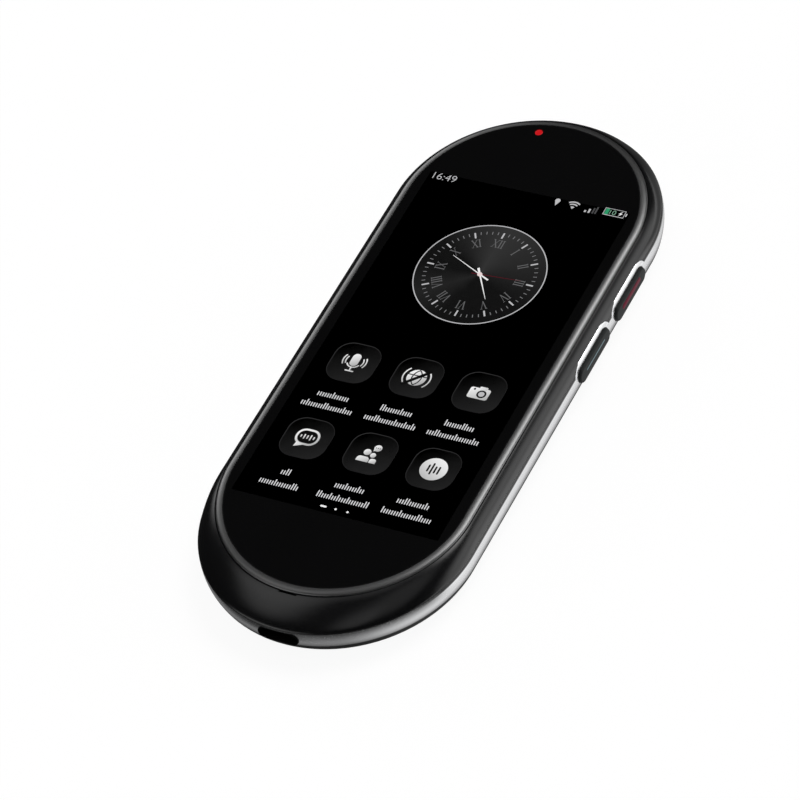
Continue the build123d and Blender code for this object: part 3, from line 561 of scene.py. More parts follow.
def glass_mesh():
    """Rings from the underside up the edge and over the rim, then a flat face filled between the last
    ring and the hole of the status light."""
    turn = np.radians(np.linspace(0, 90, 13))
    inset = np.concatenate([[0.08 * MM, 0.0], rim_width * (1 - np.cos(turn))])
    height = np.concatenate([[glass_foot, glass_foot + 0.08 * MM], bezel_top + rim_high * np.sin(turn)])
    rings = oblongs(glass_width - 2 * inset, glass_length - 2 * inset, glass_shift, height, round_turn)
    rows, columns = rings.shape[:2]
    outer = rings[-1]
    hole = np.column_stack([circle(light_x, light_y, light_hole), np.full(hole_steps, glass_top)])
    hole_low = hole - np.array([0, 0, glass_top - glass_foot])
    points = np.concatenate([rings.reshape(-1, 3), hole, hole_low])
    hole_at = np.arange(hole_steps) + rows * columns
    top_at = np.concatenate([np.arange(columns) + (rows - 1) * columns, hole_at])
    low_at = np.concatenate([np.arange(columns), hole_at + hole_steps])
    face = geometry.tessellate_polygon([[Vector(p) for p in outer], [Vector(p) for p in hole]])
    top_faces = top_at[np.array(face)]
    side = quads(2, hole_steps) + rows * columns
    flat = points[top_faces][:, :, :2]
    up = np.cross(flat[:, 1] - flat[:, 0], flat[:, 2] - flat[:, 0]) > 0
    top_faces[~up] = top_faces[~up][:, ::-1]
    low_faces = low_at[np.searchsorted(top_at, top_faces)][:, ::-1]
    thing = make_mesh("glass_face", points, [*quads(rows, columns), *top_faces, *low_faces, *side], 30)
    on_rim = np.zeros(len(points))
    on_rim[:rings.shape[0] * columns] = np.repeat([0.0, 1.0, *np.clip(4 * np.cos(turn), 0, 1)], columns)
    thing.data.attributes.new("rim", "FLOAT", "POINT").data.foreach_set("value", on_rim)
    return thing


display_low, display_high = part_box("display_panel")
picture_half = (23.3 * MM, 46.6 * MM)
picture_y = (display_low.y + display_high.y) / 2


def glass_finish():
    """Black print behind clear glass. The display's own field is darker still, the rounded rim is
    ground softer than the polished face, and faint wipe marks lie in the gloss."""
    material = finish("black_glass", (0.0062, 0.0062, 0.0064), 0.04, grain=60.0, rough_spread=0.02,
                      tone_spread=0.05, bump=0.0, stretch=(1.0, 0.35, 1.0), IOR=2.3)
    tree, _, place = opened(material)
    split = add(tree, "SeparateXYZ", {"Vector": place})
    inside = [joined(tree, "COMPARE", split.outputs[axis], middle, half)
              for axis, middle, half in (("X", 0.0, picture_half[0]), ("Y", picture_y, picture_half[1]))]
    blend(material, "Base Color", joined(tree, "MULTIPLY", *inside), (0.0, 0.0, 0.0, 1.0))
    rim = add(tree, "Attribute", attribute_name="rim")
    blend(material, "Roughness", rim.outputs["Fac"], rim_roughness)
    return material


glass = dress(glass_mesh(), glass_finish(), replaces=["cover_glass"])

# %% [markdown]
# ## Status light
# A clear guide carries the light of a small LED up to the glass. Its end is a shallow dome that
# glows red. The guide is a turned shape: radii and heights, spun round its own axis.

# %% Status light
def turned(name, x, y, radii, heights):
    """A turned solid: a ring of each radius at each height, closed at both ends."""
    rings = [np.column_stack([circle(x, y, radius), np.full(hole_steps, height)])
             for radius, height in zip(radii, heights)]
    return closed_stack(name, np.stack(rings))


dome = np.radians(np.linspace(0, 84, 7))
dome_high = 0.08 * MM
guide_radii = light_radius * np.concatenate([[1.0, 1.0], np.cos(dome)])
dome_foot = light_high.z - dome_high
guide_heights = np.concatenate([[light_low.z, dome_foot], dome_foot + dome_high * np.sin(dome)])
guide = turned("status_light", light_x, light_y, guide_radii, guide_heights)
red_light = glow("red_light", (0.62, 0.006, 0.01), 0.9)
dress(guide, red_light, replaces=["status_light_guide"])

# %% [markdown]
# ## Side keys
# Each key is a pill with a soft edge and a faintly crowned face. Rings of the pill shrink as they
# come out, by a quarter circle at the edge and then a very shallow arc. A line of colour is let
# into the face of each: dark red on the upper key, pale blue on the lower one.

# %% Keys
key_round = 0.4 * MM
key_crown = 0.05 * MM
key_flange = 3.38 * MM         # how far in from the waist the flange lies
key_black = finish("key_plastic", (0.019, 0.021, 0.021), 0.5, grain=3000.0, bump=0.08,
                   Specular_IOR_Level=0.12)
# Both inlays give off a faint painted glow of their own on top of their colour.
line_red = finish("red_inlay", (0.12, 0.006, 0.022), 0.45, grain=2500.0, bump=0.02,
                  Specular_IOR_Level=0.1, Emission_Color=(0.3, 0.01, 0.05, 1.0), Emission_Strength=0.03)
line_pale = finish("pale_inlay", (0.15, 0.21, 0.23), 0.45, grain=2500.0, bump=0.02,
                   Specular_IOR_Level=0.1, Emission_Color=(0.3, 0.42, 0.48, 1.0), Emission_Strength=0.05)


def key_skin(side, middle):
    """Rings of a key from its flange to its face. The flange and stem behind the wall are the plain
    back part, and the last rings crown the face by 0.05 mm."""
    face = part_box(f"{side}_key_cap")[1].x
    turn = np.radians(np.linspace(0, 90, 9))
    x = np.concatenate([[body_width / 2 - key_flange], face - key_crown - key_round * (1 - np.sin(turn)),
                        [face - 0.02 * MM, face]])
    shrink = np.concatenate([[0.0], key_round * (1 - np.cos(turn)), [0.8 * MM, 1.2 * MM]])
    return closed_stack(f"{side}_key", side_pills(x, key_pill[0] - 2 * shrink, key_pill[1] - 2 * shrink,
                                                  middle))


line_rise = 0.4 * MM          # the lines lie a little above the middle of the keys
inlays = {"upper": (8.9 * MM, 1.2 * MM, line_red, "red_line"),
          "lower": (8.9 * MM, 0.35 * MM, line_pale, "pale_line")}
for side, middle in zip(("upper", "lower"), key_middles):
    length, width, colour, slot = inlays[side]
    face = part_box(f"{side}_key_line")[1].x
    dress(key_skin(side, middle), key_black, f"{side}_key", [f"{side}_key_cap"])
    x = np.array([face - 0.28 * MM, face - 0.02 * MM, face])
    shrink = np.array([0.0, 0.0, 0.03 * MM])
    pills = side_pills(x, length - 2 * shrink, width - 2 * shrink, middle) + (0, 0, line_rise)
    inlay = closed_stack(f"{side}_key_inlay", pills)
    dress(inlay, colour, f"{side}_key", [f"{side}_key_line"])

# %% [markdown]
# ## The display's picture
# Everything lit on the display is a thin flat shape lying in the face of the glass: bars, discs,
# rings and wedges. Each helper gives one outline as an array of points, a list of outlines becomes
# one piece, and each shade of light is a piece of its own. No words are written: a label is two
# rows of plain bars, and only figures are drawn: the dial's, the time and the battery's.

# %% Flat shapes
mark_rise = 0.015 * MM
mark_root = 0.02 * MM


def marks(name, outlines, material, level=0.0):
    """Thin flat prisms on the glass, one for each outline of pairs in millimetres. Each has its top
    face, its bottom face and a wall of one quad for each side. The attribute spot runs from -1 to 1
    across each outline."""
    points, faces, spots, start = [], [], [], 0
    for outline in outlines:
        flat = np.asarray(outline, float) * MM
        area = np.sum(flat[:, 0] * np.roll(flat[:, 1], -1) - np.roll(flat[:, 0], -1) * flat[:, 1])
        flat = flat if area > 0 else flat[::-1]
        low, high = flat.min(0), flat.max(0)
        local = (flat - (low + high) / 2) / ((high - low).max() / 2)
        count = len(flat)
        for height in (glass_top - mark_root, glass_top + mark_rise + level * MM):
            points.append(np.column_stack([flat, np.full(count, height)]))
            spots.append(np.column_stack([local, np.zeros(count)]))
        faces += [*(quads(2, count) + start), np.arange(count)[::-1] + start,
                  np.arange(count) + count + start]
        start += 2 * count
    thing = make_mesh(name, np.concatenate(points), faces, 30)
    spot = thing.data.attributes.new("spot", "FLOAT_VECTOR", "POINT")
    spot.data.foreach_set("vector", np.concatenate(spots).ravel())
    return dress(thing, material)


def disc(x, y, radius, steps=36):
    """A round outline."""
    return circle(x, y, radius, steps)


def bar_shape(x, y, width, height, radius=None, angle=0.0):
    """A bar with rounded corners, turned by an angle in degrees about its middle."""
    radius = min(width, height) / 2 * 0.999 if radius is None else radius
    quarter = np.radians(np.linspace(0, 90, 7))
    corners = []
    for k, (sx, sy) in enumerate([(1, 1), (-1, 1), (-1, -1), (1, -1)]):
        turn = quarter + k * math.pi / 2
        corners.append(np.column_stack([sx * (width / 2 - radius) + radius * np.cos(turn),
                                        sy * (height / 2 - radius) + radius * np.sin(turn)]))
    flat = np.concatenate(corners)
    c, s = math.cos(math.radians(angle)), math.sin(math.radians(angle))
    return flat @ np.array([[c, s], [-s, c]]) + np.array([x, y])


def arc_shape(x, y, radius, width, start, end, steps=24):
    """A band along a circle from one angle to another, in degrees."""
    turn = np.radians(np.linspace(start, end, steps + 1))
    way = np.column_stack([np.cos(turn), np.sin(turn)])
    return np.concatenate([way * (radius + width / 2), way[::-1] * (radius - width / 2)]) + (x, y)


def rings_of(x, y, radius, width, parts=4):
    """A whole ring as a few arcs, since one outline can't hold a hole."""
    step = 360 / parts
    return [arc_shape(x, y, radius, width, k * step, (k + 1) * step, 40) for k in range(parts)]


def line(x0, y0, x1, y1, width):
    """A round-ended stroke between two points."""
    length = math.hypot(x1 - x0, y1 - y0)
    return bar_shape((x0 + x1) / 2, (y0 + y1) / 2, length + width, width,
                     angle=math.degrees(math.atan2(y1 - y0, x1 - x0)))


white_light = glow("white_light", (0.95, 0.95, 0.95), 0.92)
soft_light = glow("soft_white_light", (0.8, 0.8, 0.82), 0.62)
grey_light = glow("grey_light", (0.6, 0.6, 0.62), 0.32)
faint_light = glow("faint_light", (0.5, 0.5, 0.52), 0.12)
metal_light = glow("metal_light", (0.95, 0.95, 0.95), 0.95, shade=(-0.5, 0.8, 0.42))
tile_edge = glow("tile_edge", (0.9, 0.9, 0.92), 0.03, shade=(-0.5, 0.7, 0.1))
tile_field = glow("tile_field", (0.9, 0.9, 0.92), 0.013, shade=(0.45, -0.75, -0.45))
dark_light = glow("dark_field", (0.0, 0.0, 0.0), 0.0)

# %% [markdown]
# ## The clock on the display
# The dial is a dark disc with a fine pale ring, sixty marks and twelve figures that turn with the
# dial, as on a wall clock. Marks and figures repeat, so they come from one loop over the hours.

# %% Clock
clock = (0.05, 23.1)
dial_radius = 14.0


def around(shape, angle):
    """Turns an outline about the clock's middle, clockwise from twelve, and moves it there."""
    c, s = math.cos(math.radians(-angle)), math.sin(math.radians(-angle))
    return np.asarray(shape, float) @ np.array([[c, s], [-s, c]]) + clock


def numeral(text):
    """A numeral of I, V and X as upright strokes round the point (0, 9), thick down and thin up."""
    wide = {"I": 0.62, "V": 1.5, "X": 1.5}
    thick, thin, serif = 0.22, 0.1, 0.09
    low, high = 8.0, 10.1
    at, strokes = -sum(wide[letter] for letter in text) / 2, []
    for letter in text:
        mid = at + wide[letter] / 2
        top = 0.0 if letter == "I" else 0.5
        foot = top if letter == "X" else 0.0
        strokes.append(line(mid - top, high, mid + foot, low, thick))
        if letter != "I":
            strokes.append(line(mid + top, high, mid - foot, low, thin))
        for end in sorted({mid - top, mid + top}):
            strokes += [line(end - thick, level, end + thick, level, serif)
                        for level in ((high,) if letter == "V" else (high, low))]
        at += wide[letter]
    return strokes


hours = ["XII", "I", "II", "III", "IV", "V", "VI", "VII", "VIII", "IX", "X", "XI"]
hour_marks = [around(bar_shape(0, 11.45, 0.36, 1.6, 0.1), 30 * k) for k in range(12)]
minute_marks = [around(bar_shape(0, 11.85, 0.17, 0.8, 0.05), 6 * k) for k in range(60) if k % 5]
figures = [around(stroke, 30 * k) for k, text in enumerate(hours) for stroke in numeral(text)]
hour_hand = [[-0.26, -1.9], [0.26, -1.9], [0.16, 1.0], [0.05, 7.4], [-0.05, 7.4], [-0.16, 1.0]]
minute_hand = [[-0.2, -2.6], [0.2, -2.6], [0.12, 1.0], [0.04, 8.6], [-0.04, 8.6], [-0.12, 1.0]]
second_hand = [[-0.09, -1.9], [0.09, -1.9], [0.04, 9.2], [-0.04, 9.2]]
hand_angles = {"hour": 146.0, "minute": 294.0, "second": 86.0}


dial_dark = 0.002
dial_fans = ((10, 12, 16, 0.028), (6.5, 7.75, 9, 0.012))    # first, middle and last hour, and light


def dial_finish():
    """Brushed dark disc: its light depends only on the angle round the dial. Each fan rises from the
    dark disc at its first hour to its own light at its middle one, and falls back at its last."""
    material = finish("dial_light", (0.008, 0.008, 0.008), 0.12, grain=500.0, rough_spread=0.03, bump=0.0)
    tree, shader, place = opened(material)
    centred = add(tree, "Mapping", {"Vector": place, "Location": (-clock[0] * MM, -clock[1] * MM, 0)})
    gradient = add(tree, "TexGradient", {"Vector": centred.outputs["Vector"]}, gradient_type="RADIAL")
    ramp = add(tree, "ValToRGB", {"Fac": gradient.outputs["Fac"]})
    light_at = {}
    for first, middle, last, light in dial_fans:
        light_at.update({first: dial_dark, middle: light, last: dial_dark})
    stops = sorted(((0.75 - hour / 12) % 1.0, light) for hour, light in light_at.items())
    stops.append((1.0, dial_dark))
    for _ in range(len(stops) - 2):
        ramp.color_ramp.elements.new(0.5)
    for element, (at, value) in zip(ramp.color_ramp.elements, stops):
        element.position = at
        element.color = (value, value, value, 1)
    tree.links.new(ramp.outputs["Color"], shader.inputs["Emission Color"])
    shader.inputs["Emission Strength"].default_value = 1.0
    return material


numeral_light = glow("numeral_light", (0.7, 0.7, 0.72), 0.17)
marks("clock_dial", [disc(*clock, dial_radius, 96)], dial_finish(), -0.008)
marks("clock_ring", rings_of(*clock, dial_radius + 0.05, 0.23), soft_light)
marks("clock_hour_marks", hour_marks, soft_light)
marks("clock_minute_marks", minute_marks, grey_light)
marks("clock_figures", figures, numeral_light)
marks("clock_hands", [around(hour_hand, hand_angles["hour"]), around(minute_hand, hand_angles["minute"])],
      white_light, 0.006)
second_red = glow("second_hand_red", (0.5, 0.02, 0.06), 0.19)
marks("clock_second_hand", [around(second_hand, hand_angles["second"])], second_red, 0.01)
hub_light = glow("hub_light", (0.95, 0.78, 0.78), 0.85)
marks("clock_hub", [disc(*clock, 0.55)], hub_light, 0.014)

# %% [markdown]
# ## Status bar
# The time is figures only, set as a text curve, made a mesh, and laid flat. Small common signs of
# a phone stand at the right: a place pin, radio waves, signal steps and a battery.

# %% Time and signs
def lettering(name, text, x, y, height, material):
    """Figures from the built-in typeface, scaled to a height in millimetres, standing on (x, y)."""
    curve = bpy.data.curves.new(name, "FONT")
    curve.body = text
    holder = bpy.data.objects.new(name, curve)
    bpy.context.scene.collection.objects.link(holder)
    curve.extrude = 0.5
    curve.offset = -0.012      # thins the strokes
    graph = bpy.context.evaluated_depsgraph_get()
    mesh = bpy.data.meshes.new_from_object(holder.evaluated_get(graph))
    bpy.data.objects.remove(holder)
    points = np.zeros(len(mesh.vertices) * 3)
    mesh.vertices.foreach_get("co", points)
    points = points.reshape(-1, 3)
    low, high = points.min(0), points.max(0)
    scale = height / (high[1] - low[1])
    flat = (points[:, :2] - low[:2]) * scale + (x, y)
    rise = np.where(points[:, 2] > 0, glass_top + mark_rise, glass_top - mark_root)
    placed = np.column_stack([flat * MM, rise])
    mesh.vertices.foreach_set("co", placed.ravel())
    mesh.update()
    thing = bpy.data.objects.new(name, mesh)
    bpy.context.scene.collection.objects.link(thing)
    return dress(thing, material)


lettering("time_figures", "16:49", -22.2, 46.05, 1.85, soft_light)
waves = [arc_shape(10.7, 45.75, 2.0, 0.34, 52, 128, 12), arc_shape(10.7, 45.75, 1.35, 0.34, 52, 128, 12),
         [[10.7, 45.75], [11.17, 46.36], [10.7, 46.5], [10.23, 46.36]]]
steps_up = [bar_shape(13.75 + 0.85 * k, 45.95 + 0.3 * k, 0.42, 0.55 + 0.6 * k, 0.05) for k in range(2)]
pin = [disc(6.9, 47.2, 0.58), [[6.4, 46.95], [6.9, 45.7], [7.4, 46.95]]]
marks("bar_signs", waves + steps_up + pin, soft_light)
marks("signal_left_over", [bar_shape(15.45 + 0.6 * k, 46.5 + 0.25 * k, 0.36, 1.6 + 0.4 * k, 0.05)
                           for k in range(2)], faint_light)
cell = [line(17.7, 46.2, 17.7, 48.1, 0.13), line(17.7, 48.1, 22.3, 48.1, 0.1),
        line(22.3, 48.1, 22.3, 46.2, 0.13), line(22.3, 46.2, 17.7, 46.2, 0.16),
        bar_shape(22.7, 47.15, 0.3, 0.85, 0.1)]
marks("battery_outline", cell, soft_light)
green_light = glow("green_light", (0.04, 0.5, 0.22), 0.6)
marks("battery_level", [bar_shape(18.3, 47.15, 0.8, 1.7, 0.1)], green_light)
pale_green = glow("pale_green_light", (0.45, 0.85, 0.6), 0.5)
lettering("battery_figures", "10", 18.95, 46.5, 1.25, pale_green)
bolt = [[21.75, 47.95], [20.95, 47.05], [21.4, 47.05], [21.05, 46.4], [21.85, 47.25], [21.45, 47.25]]
marks("battery_bolt", [bolt], white_light, 0.004)

# %% [markdown]
# ## Tiles, their pictures and their labels
# Six dark tiles carry common signs: a microphone, a struck-through globe, a camera, a speech
# bubble, people, and a disc with sound bars. The tiles sit on a grid, and their pictures are small
# lists of outlines round each tile's middle.

# %% Tiles
tile_x = (-14.5, 0.0, 14.3)
tile_rows = (-7.1, -28.6)
tile_size = (10.35, 10.6)
tile_corner = 3.6


def moved(outlines, x, y):
    """The same outlines about another point."""
    return [np.asarray(outline, float) + (x, y) for outline in outlines]


def rounded_top(x, y, width, height, radius):
    """A block with a flat foot and two round upper corners; (x, y) is the middle of its foot."""
    quarter = np.radians(np.linspace(0, 90, 8))
    right = np.column_stack([width / 2 - radius + radius * np.cos(quarter),
                             height - radius + radius * np.sin(quarter)])
    left = right[::-1] * (-1, 1)
    foot = [[-width / 2, 0], [width / 2, 0]]
    return np.concatenate([right, left, foot]) + (x, y)


def microphone_sign():
    """A capsule, its cup, stand and foot, with sound arcs at both sides."""
    side = [arc_shape(0, 0.5, radius, 0.28, start, start + 60, 10)
            for radius in (1.95, 2.6) for start in (-30, 150)]
    return [bar_shape(0, 0.85, 1.85, 3.4), arc_shape(0, 0.3, 1.5, 0.3, 205, 335, 16),
            line(0, -1.2, 0, -2.1, 0.3), line(-0.85, -2.25, 0.85, -2.25, 0.3), *side]


def globe_sign():
    """A filled globe between two arcs; its lines and the stroke through it are drawn dark on top."""
    arcs = [arc_shape(0, 0, 3.0, 0.3, start, start + 90, 16) for start in (135, -45)]
    return [disc(0, 0, 2.15), *arcs]


def globe_lines():
    """Two meridians, one parallel and the stroke through the globe."""
    return [arc_shape(1.5, 0, 2.5, 0.26, 125, 235, 14), arc_shape(-1.5, 0, 2.5, 0.26, -55, 55, 14),
            line(-2.0, 0.55, 2.0, 0.55, 0.26), line(-2.2, -2.3, 2.3, 2.2, 0.75)]


def camera_sign():
    """A camera body with its finder hump."""
    return [bar_shape(0, -0.3, 4.5, 2.9, 0.5), bar_shape(0.5, 1.2, 1.8, 0.8, 0.25)]


def bubble_sign():
    """A filled speech bubble and its tail. Its dark inside and its voice bars are drawn on top."""
    return [bar_shape(0, 0.3, 5.3, 4.3, 2.0), [[-1.7, -1.3], [0.2, -1.7], [-1.9, -2.7]]]


def voice_bars(heights, pitch=0.72):
    """Upright bars in a row, one for each height."""
    first = -(len(heights) - 1) / 2
    return [bar_shape((first + k) * pitch, 0.3, 0.3, high) for k, high in enumerate(heights)]


def people_sign():
    """Two people side by side, and a small speech bubble at the right."""
    return [disc(0.95, 1.75, 0.85, 24), [[0.3, 1.4], [0.75, 1.0], [0.25, 0.75]], disc(-0.75, 0.25, 0.8, 24),
            disc(0.75, -0.25, 0.62, 24), rounded_top(-0.95, -2.3, 2.7, 1.35, 0.75),
            rounded_top(1.3, -2.3, 1.45, 1.2, 0.55)]


tiles = [(x, y) for y in tile_rows for x in tile_x]
marks("tiles", [bar_shape(x, y, *tile_size, tile_corner) for x, y in tiles], tile_edge, -0.008)
fields = [bar_shape(x + 0.06, y - 0.06, tile_size[0] - 0.28, tile_size[1] - 0.28, tile_corner - 0.14)
          for x, y in tiles]
marks("tile_fields", fields, tile_field, -0.004)
signs = [microphone_sign(), globe_sign(), camera_sign(), bubble_sign(), people_sign(), []]
shapes = [outline for (x, y), sign in zip(tiles, signs) for outline in moved(sign, x, y)]
marks("tile_signs", shapes, metal_light)
holes = [*moved(globe_lines(), *tiles[1]),
         *moved([disc(0.6, -0.35, 1.05), disc(-1.3, 0.65, 0.25)], *tiles[2]),
         *moved([bar_shape(0, 0.3, 4.3, 3.3, 1.5)], *tiles[3]),
         *moved([disc(0.95 + 0.45 * k, 1.75, 0.13, 12) for k in (-1, 0, 1)], *tiles[4])]
marks("sign_holes", holes, dark_light, 0.006)
marks("lens_spot", moved([disc(0.6, -0.35, 0.66)], *tiles[2]), soft_light, 0.01)
marks("talk_bars", moved(voice_bars((0.7, 1.3, 1.0, 1.5, 0.8)), *tiles[3]), metal_light, 0.01)
disc_light = glow("disc_light", (0.97, 0.97, 0.97), 0.92, shade=(0.4, 0.75, 0.5))
marks("sound_disc", [disc(*tiles[5], 2.92, 48)], disc_light)
bars = [bar_shape(dx, dy, 0.4, high) for dx, dy, high in
        ((-1.16, 0.0, 1.9), (-0.38, 0.0, 3.1), (0.38, -0.1, 1.9), (1.16, -0.1, 2.1))]
marks("sound_bars", moved(bars, *tiles[5]), dark_light, 0.006)

# %% [markdown]
# ## Labels and page marks
# Under each tile two rows of fine upright bars stand where words would be, one row for each line of
# writing. Their heights rise and fall with two sines, so that a row has the even grey of writing
# and says nothing. A dash and two dots at the foot tell which page is open.

# %% Labels
def written(x, y, width, pitch=0.56):
    """A row of thin bars on a base line at y: every bar has the height of a small letter, and some
    rise to that of a tall one where the sum of two sines is high."""
    count = int(width / pitch)
    k = np.arange(count)
    tall = np.sin(1.7 * k + x) + np.sin(0.9 * k + y) > 0.9
    high = np.where(tall, 1.65, 1.1)
    at = x + (k - (count - 1) / 2) * pitch
    return [bar_shape(across, y + up / 2, 0.24, up) for across, up in zip(at, high)]


label_rows = {-17.3: (7.5, 7.7, 7.2), -20.4: (12.2, 12.2, 12.2), -38.8: (2.7, 7.2, 7.3),
              -42.0: (9.0, 12.0, 11.3)}
labels = [bar for y, widths in label_rows.items() for x, width in zip(tile_x, widths)
          for bar in written(x, y, width)]
label_light = glow("label_light", (0.95, 0.95, 0.97), 0.72)
marks("label_bars", labels, label_light)
marks("page_marks", [bar_shape(-2.95, -44.0, 1.4, 0.45), disc(-0.2, -44.0, 0.25), disc(2.5, -44.0, 0.25)],
      white_light)

# %% [markdown]
# ## Finishes of the solids that stay
# The back, the camera, the port and everything inside keep their solids. Their meshes are loose
# triangles, so a weld and an edge split, both as live modifiers, give smooth faces and crisp
# edges without touching the mesh itself.

# %% Finishes for the other nodes
finishes = {
    "back_shell": finish("soft_black_plastic", (0.012, 0.012, 0.013), 0.42, grain=4000.0, bump=0.35),
    "foam": finish("black_foam", (0.02, 0.02, 0.02), 0.9, grain=1500.0, bump=0.6),
    "display": finish("display_stack", (0.05, 0.05, 0.055), 0.3, grain=600.0, bump=0.05),
    "steel": finish("pressed_steel", (0.55, 0.55, 0.56), 0.3, metal=1.0, grain=1800.0, bump=0.1),
    "flex_circuit": finish("amber_film", (0.35, 0.16, 0.03), 0.4, grain=900.0, bump=0.05),
    "chassis": finish("cast_magnesium", (0.42, 0.43, 0.44), 0.45, metal=1.0, grain=1500.0, bump=0.3),
    "screw": finish("black_screw_steel", (0.08, 0.08, 0.085), 0.35, metal=1.0, grain=2500.0, bump=0.1),
    "switch": finish("switch_metal", (0.6, 0.6, 0.6), 0.35, metal=1.0, grain=1500.0, bump=0.1),
    "board": finish("green_board", (0.01, 0.07, 0.035), 0.4, grain=700.0, tone_spread=0.3, bump=0.15),
    "chip": finish("chip_epoxy", (0.02, 0.02, 0.022), 0.5, grain=3000.0, bump=0.2),
    "camera": finish("camera_barrel", (0.015, 0.015, 0.017), 0.35, grain=2500.0, bump=0.1),
    "trim": finish("turned_trim", (0.5, 0.5, 0.51), 0.25, metal=1.0, grain=3000.0, bump=0.08),
    "window": finish("dark_window", (0.006, 0.006, 0.008), 0.05, grain=80.0, rough_spread=0.02, bump=0.0),
    "lamp": finish("lamp_phosphor", (0.75, 0.62, 0.18), 0.5, grain=2500.0, bump=0.1),
    "clear_guide": finish("frosted_guide", (0.75, 0.76, 0.78), 0.35, grain=2000.0, bump=0.1),
    "port_plastic": finish("port_plastic", (0.015, 0.015, 0.015), 0.4, grain=2500.0, bump=0.1),
    "contact": finish("gold_contact", (0.83, 0.6, 0.26), 0.25, metal=1.0, grain=2500.0, bump=0.05),
    "rubber": finish("black_rubber", (0.018, 0.018, 0.018), 0.7, grain=2500.0, bump=0.3),
    "mesh": finish("woven_mesh", (0.05, 0.05, 0.052), 0.55, grain=6000.0, tone_spread=0.5, bump=0.8),
    "speaker": finish("speaker_case", (0.03, 0.03, 0.03), 0.45, grain=2000.0, bump=0.2),
    "battery": finish("battery_wrap", (0.12, 0.12, 0.125), 0.4, grain=500.0, bump=0.1),
    "aerial": finish("aerial_plastic", (0.06, 0.06, 0.062), 0.5, grain=1800.0, bump=0.2),
    "silver_ring": silver,
    "dark_frame": dark_gloss,
    "key": key_black,
    "red_line": line_red,
    "pale_line": line_pale,
    "status_light": red_light,
    "cover_glass": glass.data.materials[0],
}


slots = {piece["node"]: piece["material_slot"] for piece in frame["record"]["subparts"]}
for name, node in nodes.items():
    node.data.materials.clear()
    # The port's shell is black as well, painted shade for the dark inside of the opening, in place of its
    # own finish.
    node.data.materials.append(port_black if name == "port_shell" else finishes[slots[name]])
    if not node.hide_render:
        node.data.polygons.foreach_set("use_smooth", np.ones(len(node.data.polygons), bool))
        weld = node.modifiers.new("weld", "WELD")
        weld.merge_threshold = 0.0005 * MM
        split = node.modifiers.new("crease", "EDGE_SPLIT")
        split.split_angle = math.radians(30)
print("dressed", len(nodes), "nodes")

# %% [markdown]
# ## Floor, light and camera
# The handset lies on a plain white floor in a studio. Polished black and silver have hardly any
# look of their own: they show what they mirror. So the room is dark, and each soft panel hangs where
# one edge of the casing mirrors it. A black cloth keeps the flat glass black. Camera rays see the
# floor nearly white, and it still keeps its shadow.

# %% Room
def toward(azimuth, elevation):
    """The direction at an azimuth, in degrees from +Y towards +X, and at a height in degrees."""
    azimuth, elevation = math.radians(azimuth), math.radians(elevation)
    return (math.sin(azimuth) * math.cos(elevation), math.cos(azimuth) * math.cos(elevation),
            math.sin(elevation))


def eased(tree, value, ends, results):
    """A value eased between two results while it runs between two ends."""
    names = ("Value", "From Min", "From Max", "To Min", "To Max")
    wires = dict(zip(names, (value, *ends, *results)))
    return add(tree, "MapRange", wires, interpolation_type="SMOOTHSTEP").outputs["Result"]


def patch(tree, way, azimuth, elevation, inner, outer, middle, edge=0.0):
    """A round patch in the sky. It has the value middle up to the inner angle from its own
    direction, and eases to the value edge at the outer angle."""
    near = add(tree, "VectorMath", {0: way, 1: toward(azimuth, elevation)}, operation="DOT_PRODUCT")
    ends = [math.cos(math.radians(angle)) for angle in (outer, inner)]
    return eased(tree, near.outputs["Value"], ends, (edge, middle))


def shown_by_ray(tree, others, seen, out):
    """Shows one shader to the camera and another to every other ray."""
    path = add(tree, "LightPath")
    mix = add(tree, "MixShader", {0: path.outputs["Is Camera Ray"], 1: others, 2: seen})
    add(tree, out, {0: mix.outputs[0]})


soft_panels = {                       # azimuth, elevation, inner and outer angle, brightness
    "behind_right": (25, 55, 5, 20, 6.0),     # draws the pale edge along the right of the glass
    "right": (60, 5, 10, 40, 1.5),            # the right flank and its ring
    "behind_left": (-52, 22, 10, 22, 2.5),    # the left edge of the glass
    "front_left": (-100, 60, 5, 20, 1.0),     # the chin, from the left
    "front": (160, 63, 4, 13, 0.55),          # the foot of the chin's slope
    "front_right": (110, 65, 5, 20, 0.35),    # the chin's right corner
    "overhead": (-30, 80, 5, 15, 0.4),        # the shoulder beside the glass
    "low_front": (-150, 5, 15, 35, 1.5),      # the ring at the chin
}
black_cloth = (-36, 46, 10, 30)       # where the flat face of the glass mirrors the camera
room_level = 0.02


def room():
    """The world: white for the camera. Every other ray meets a dim room with soft panels, and one
    black cloth hangs where the flat face of the glass mirrors the room."""
    world = bpy.data.worlds.new("studio_room")
    bpy.context.scene.world = world
    world.use_nodes = True
    tree = world.node_tree
    tree.nodes.clear()
    way = add(tree, "TexCoord").outputs["Generated"]
    light = room_level
    for place in soft_panels.values():
        light = joined(tree, "ADD", light, patch(tree, way, *place))
    light = joined(tree, "MULTIPLY", light, patch(tree, way, *black_cloth, 0.0, 1.0))
    unseen, seen = (add(tree, "Background", {"Color": colour}) for colour in (light, (1, 1, 1, 1)))
    shown_by_ray(tree, unseen.outputs[0], seen.outputs[0], "OutputWorld")
    print("room with", len(soft_panels), "soft panels")


room()

# %% Floor
seen_tone = 0.12              # the floor as the camera sees it: its paint, and its own light
seen_light = 0.93


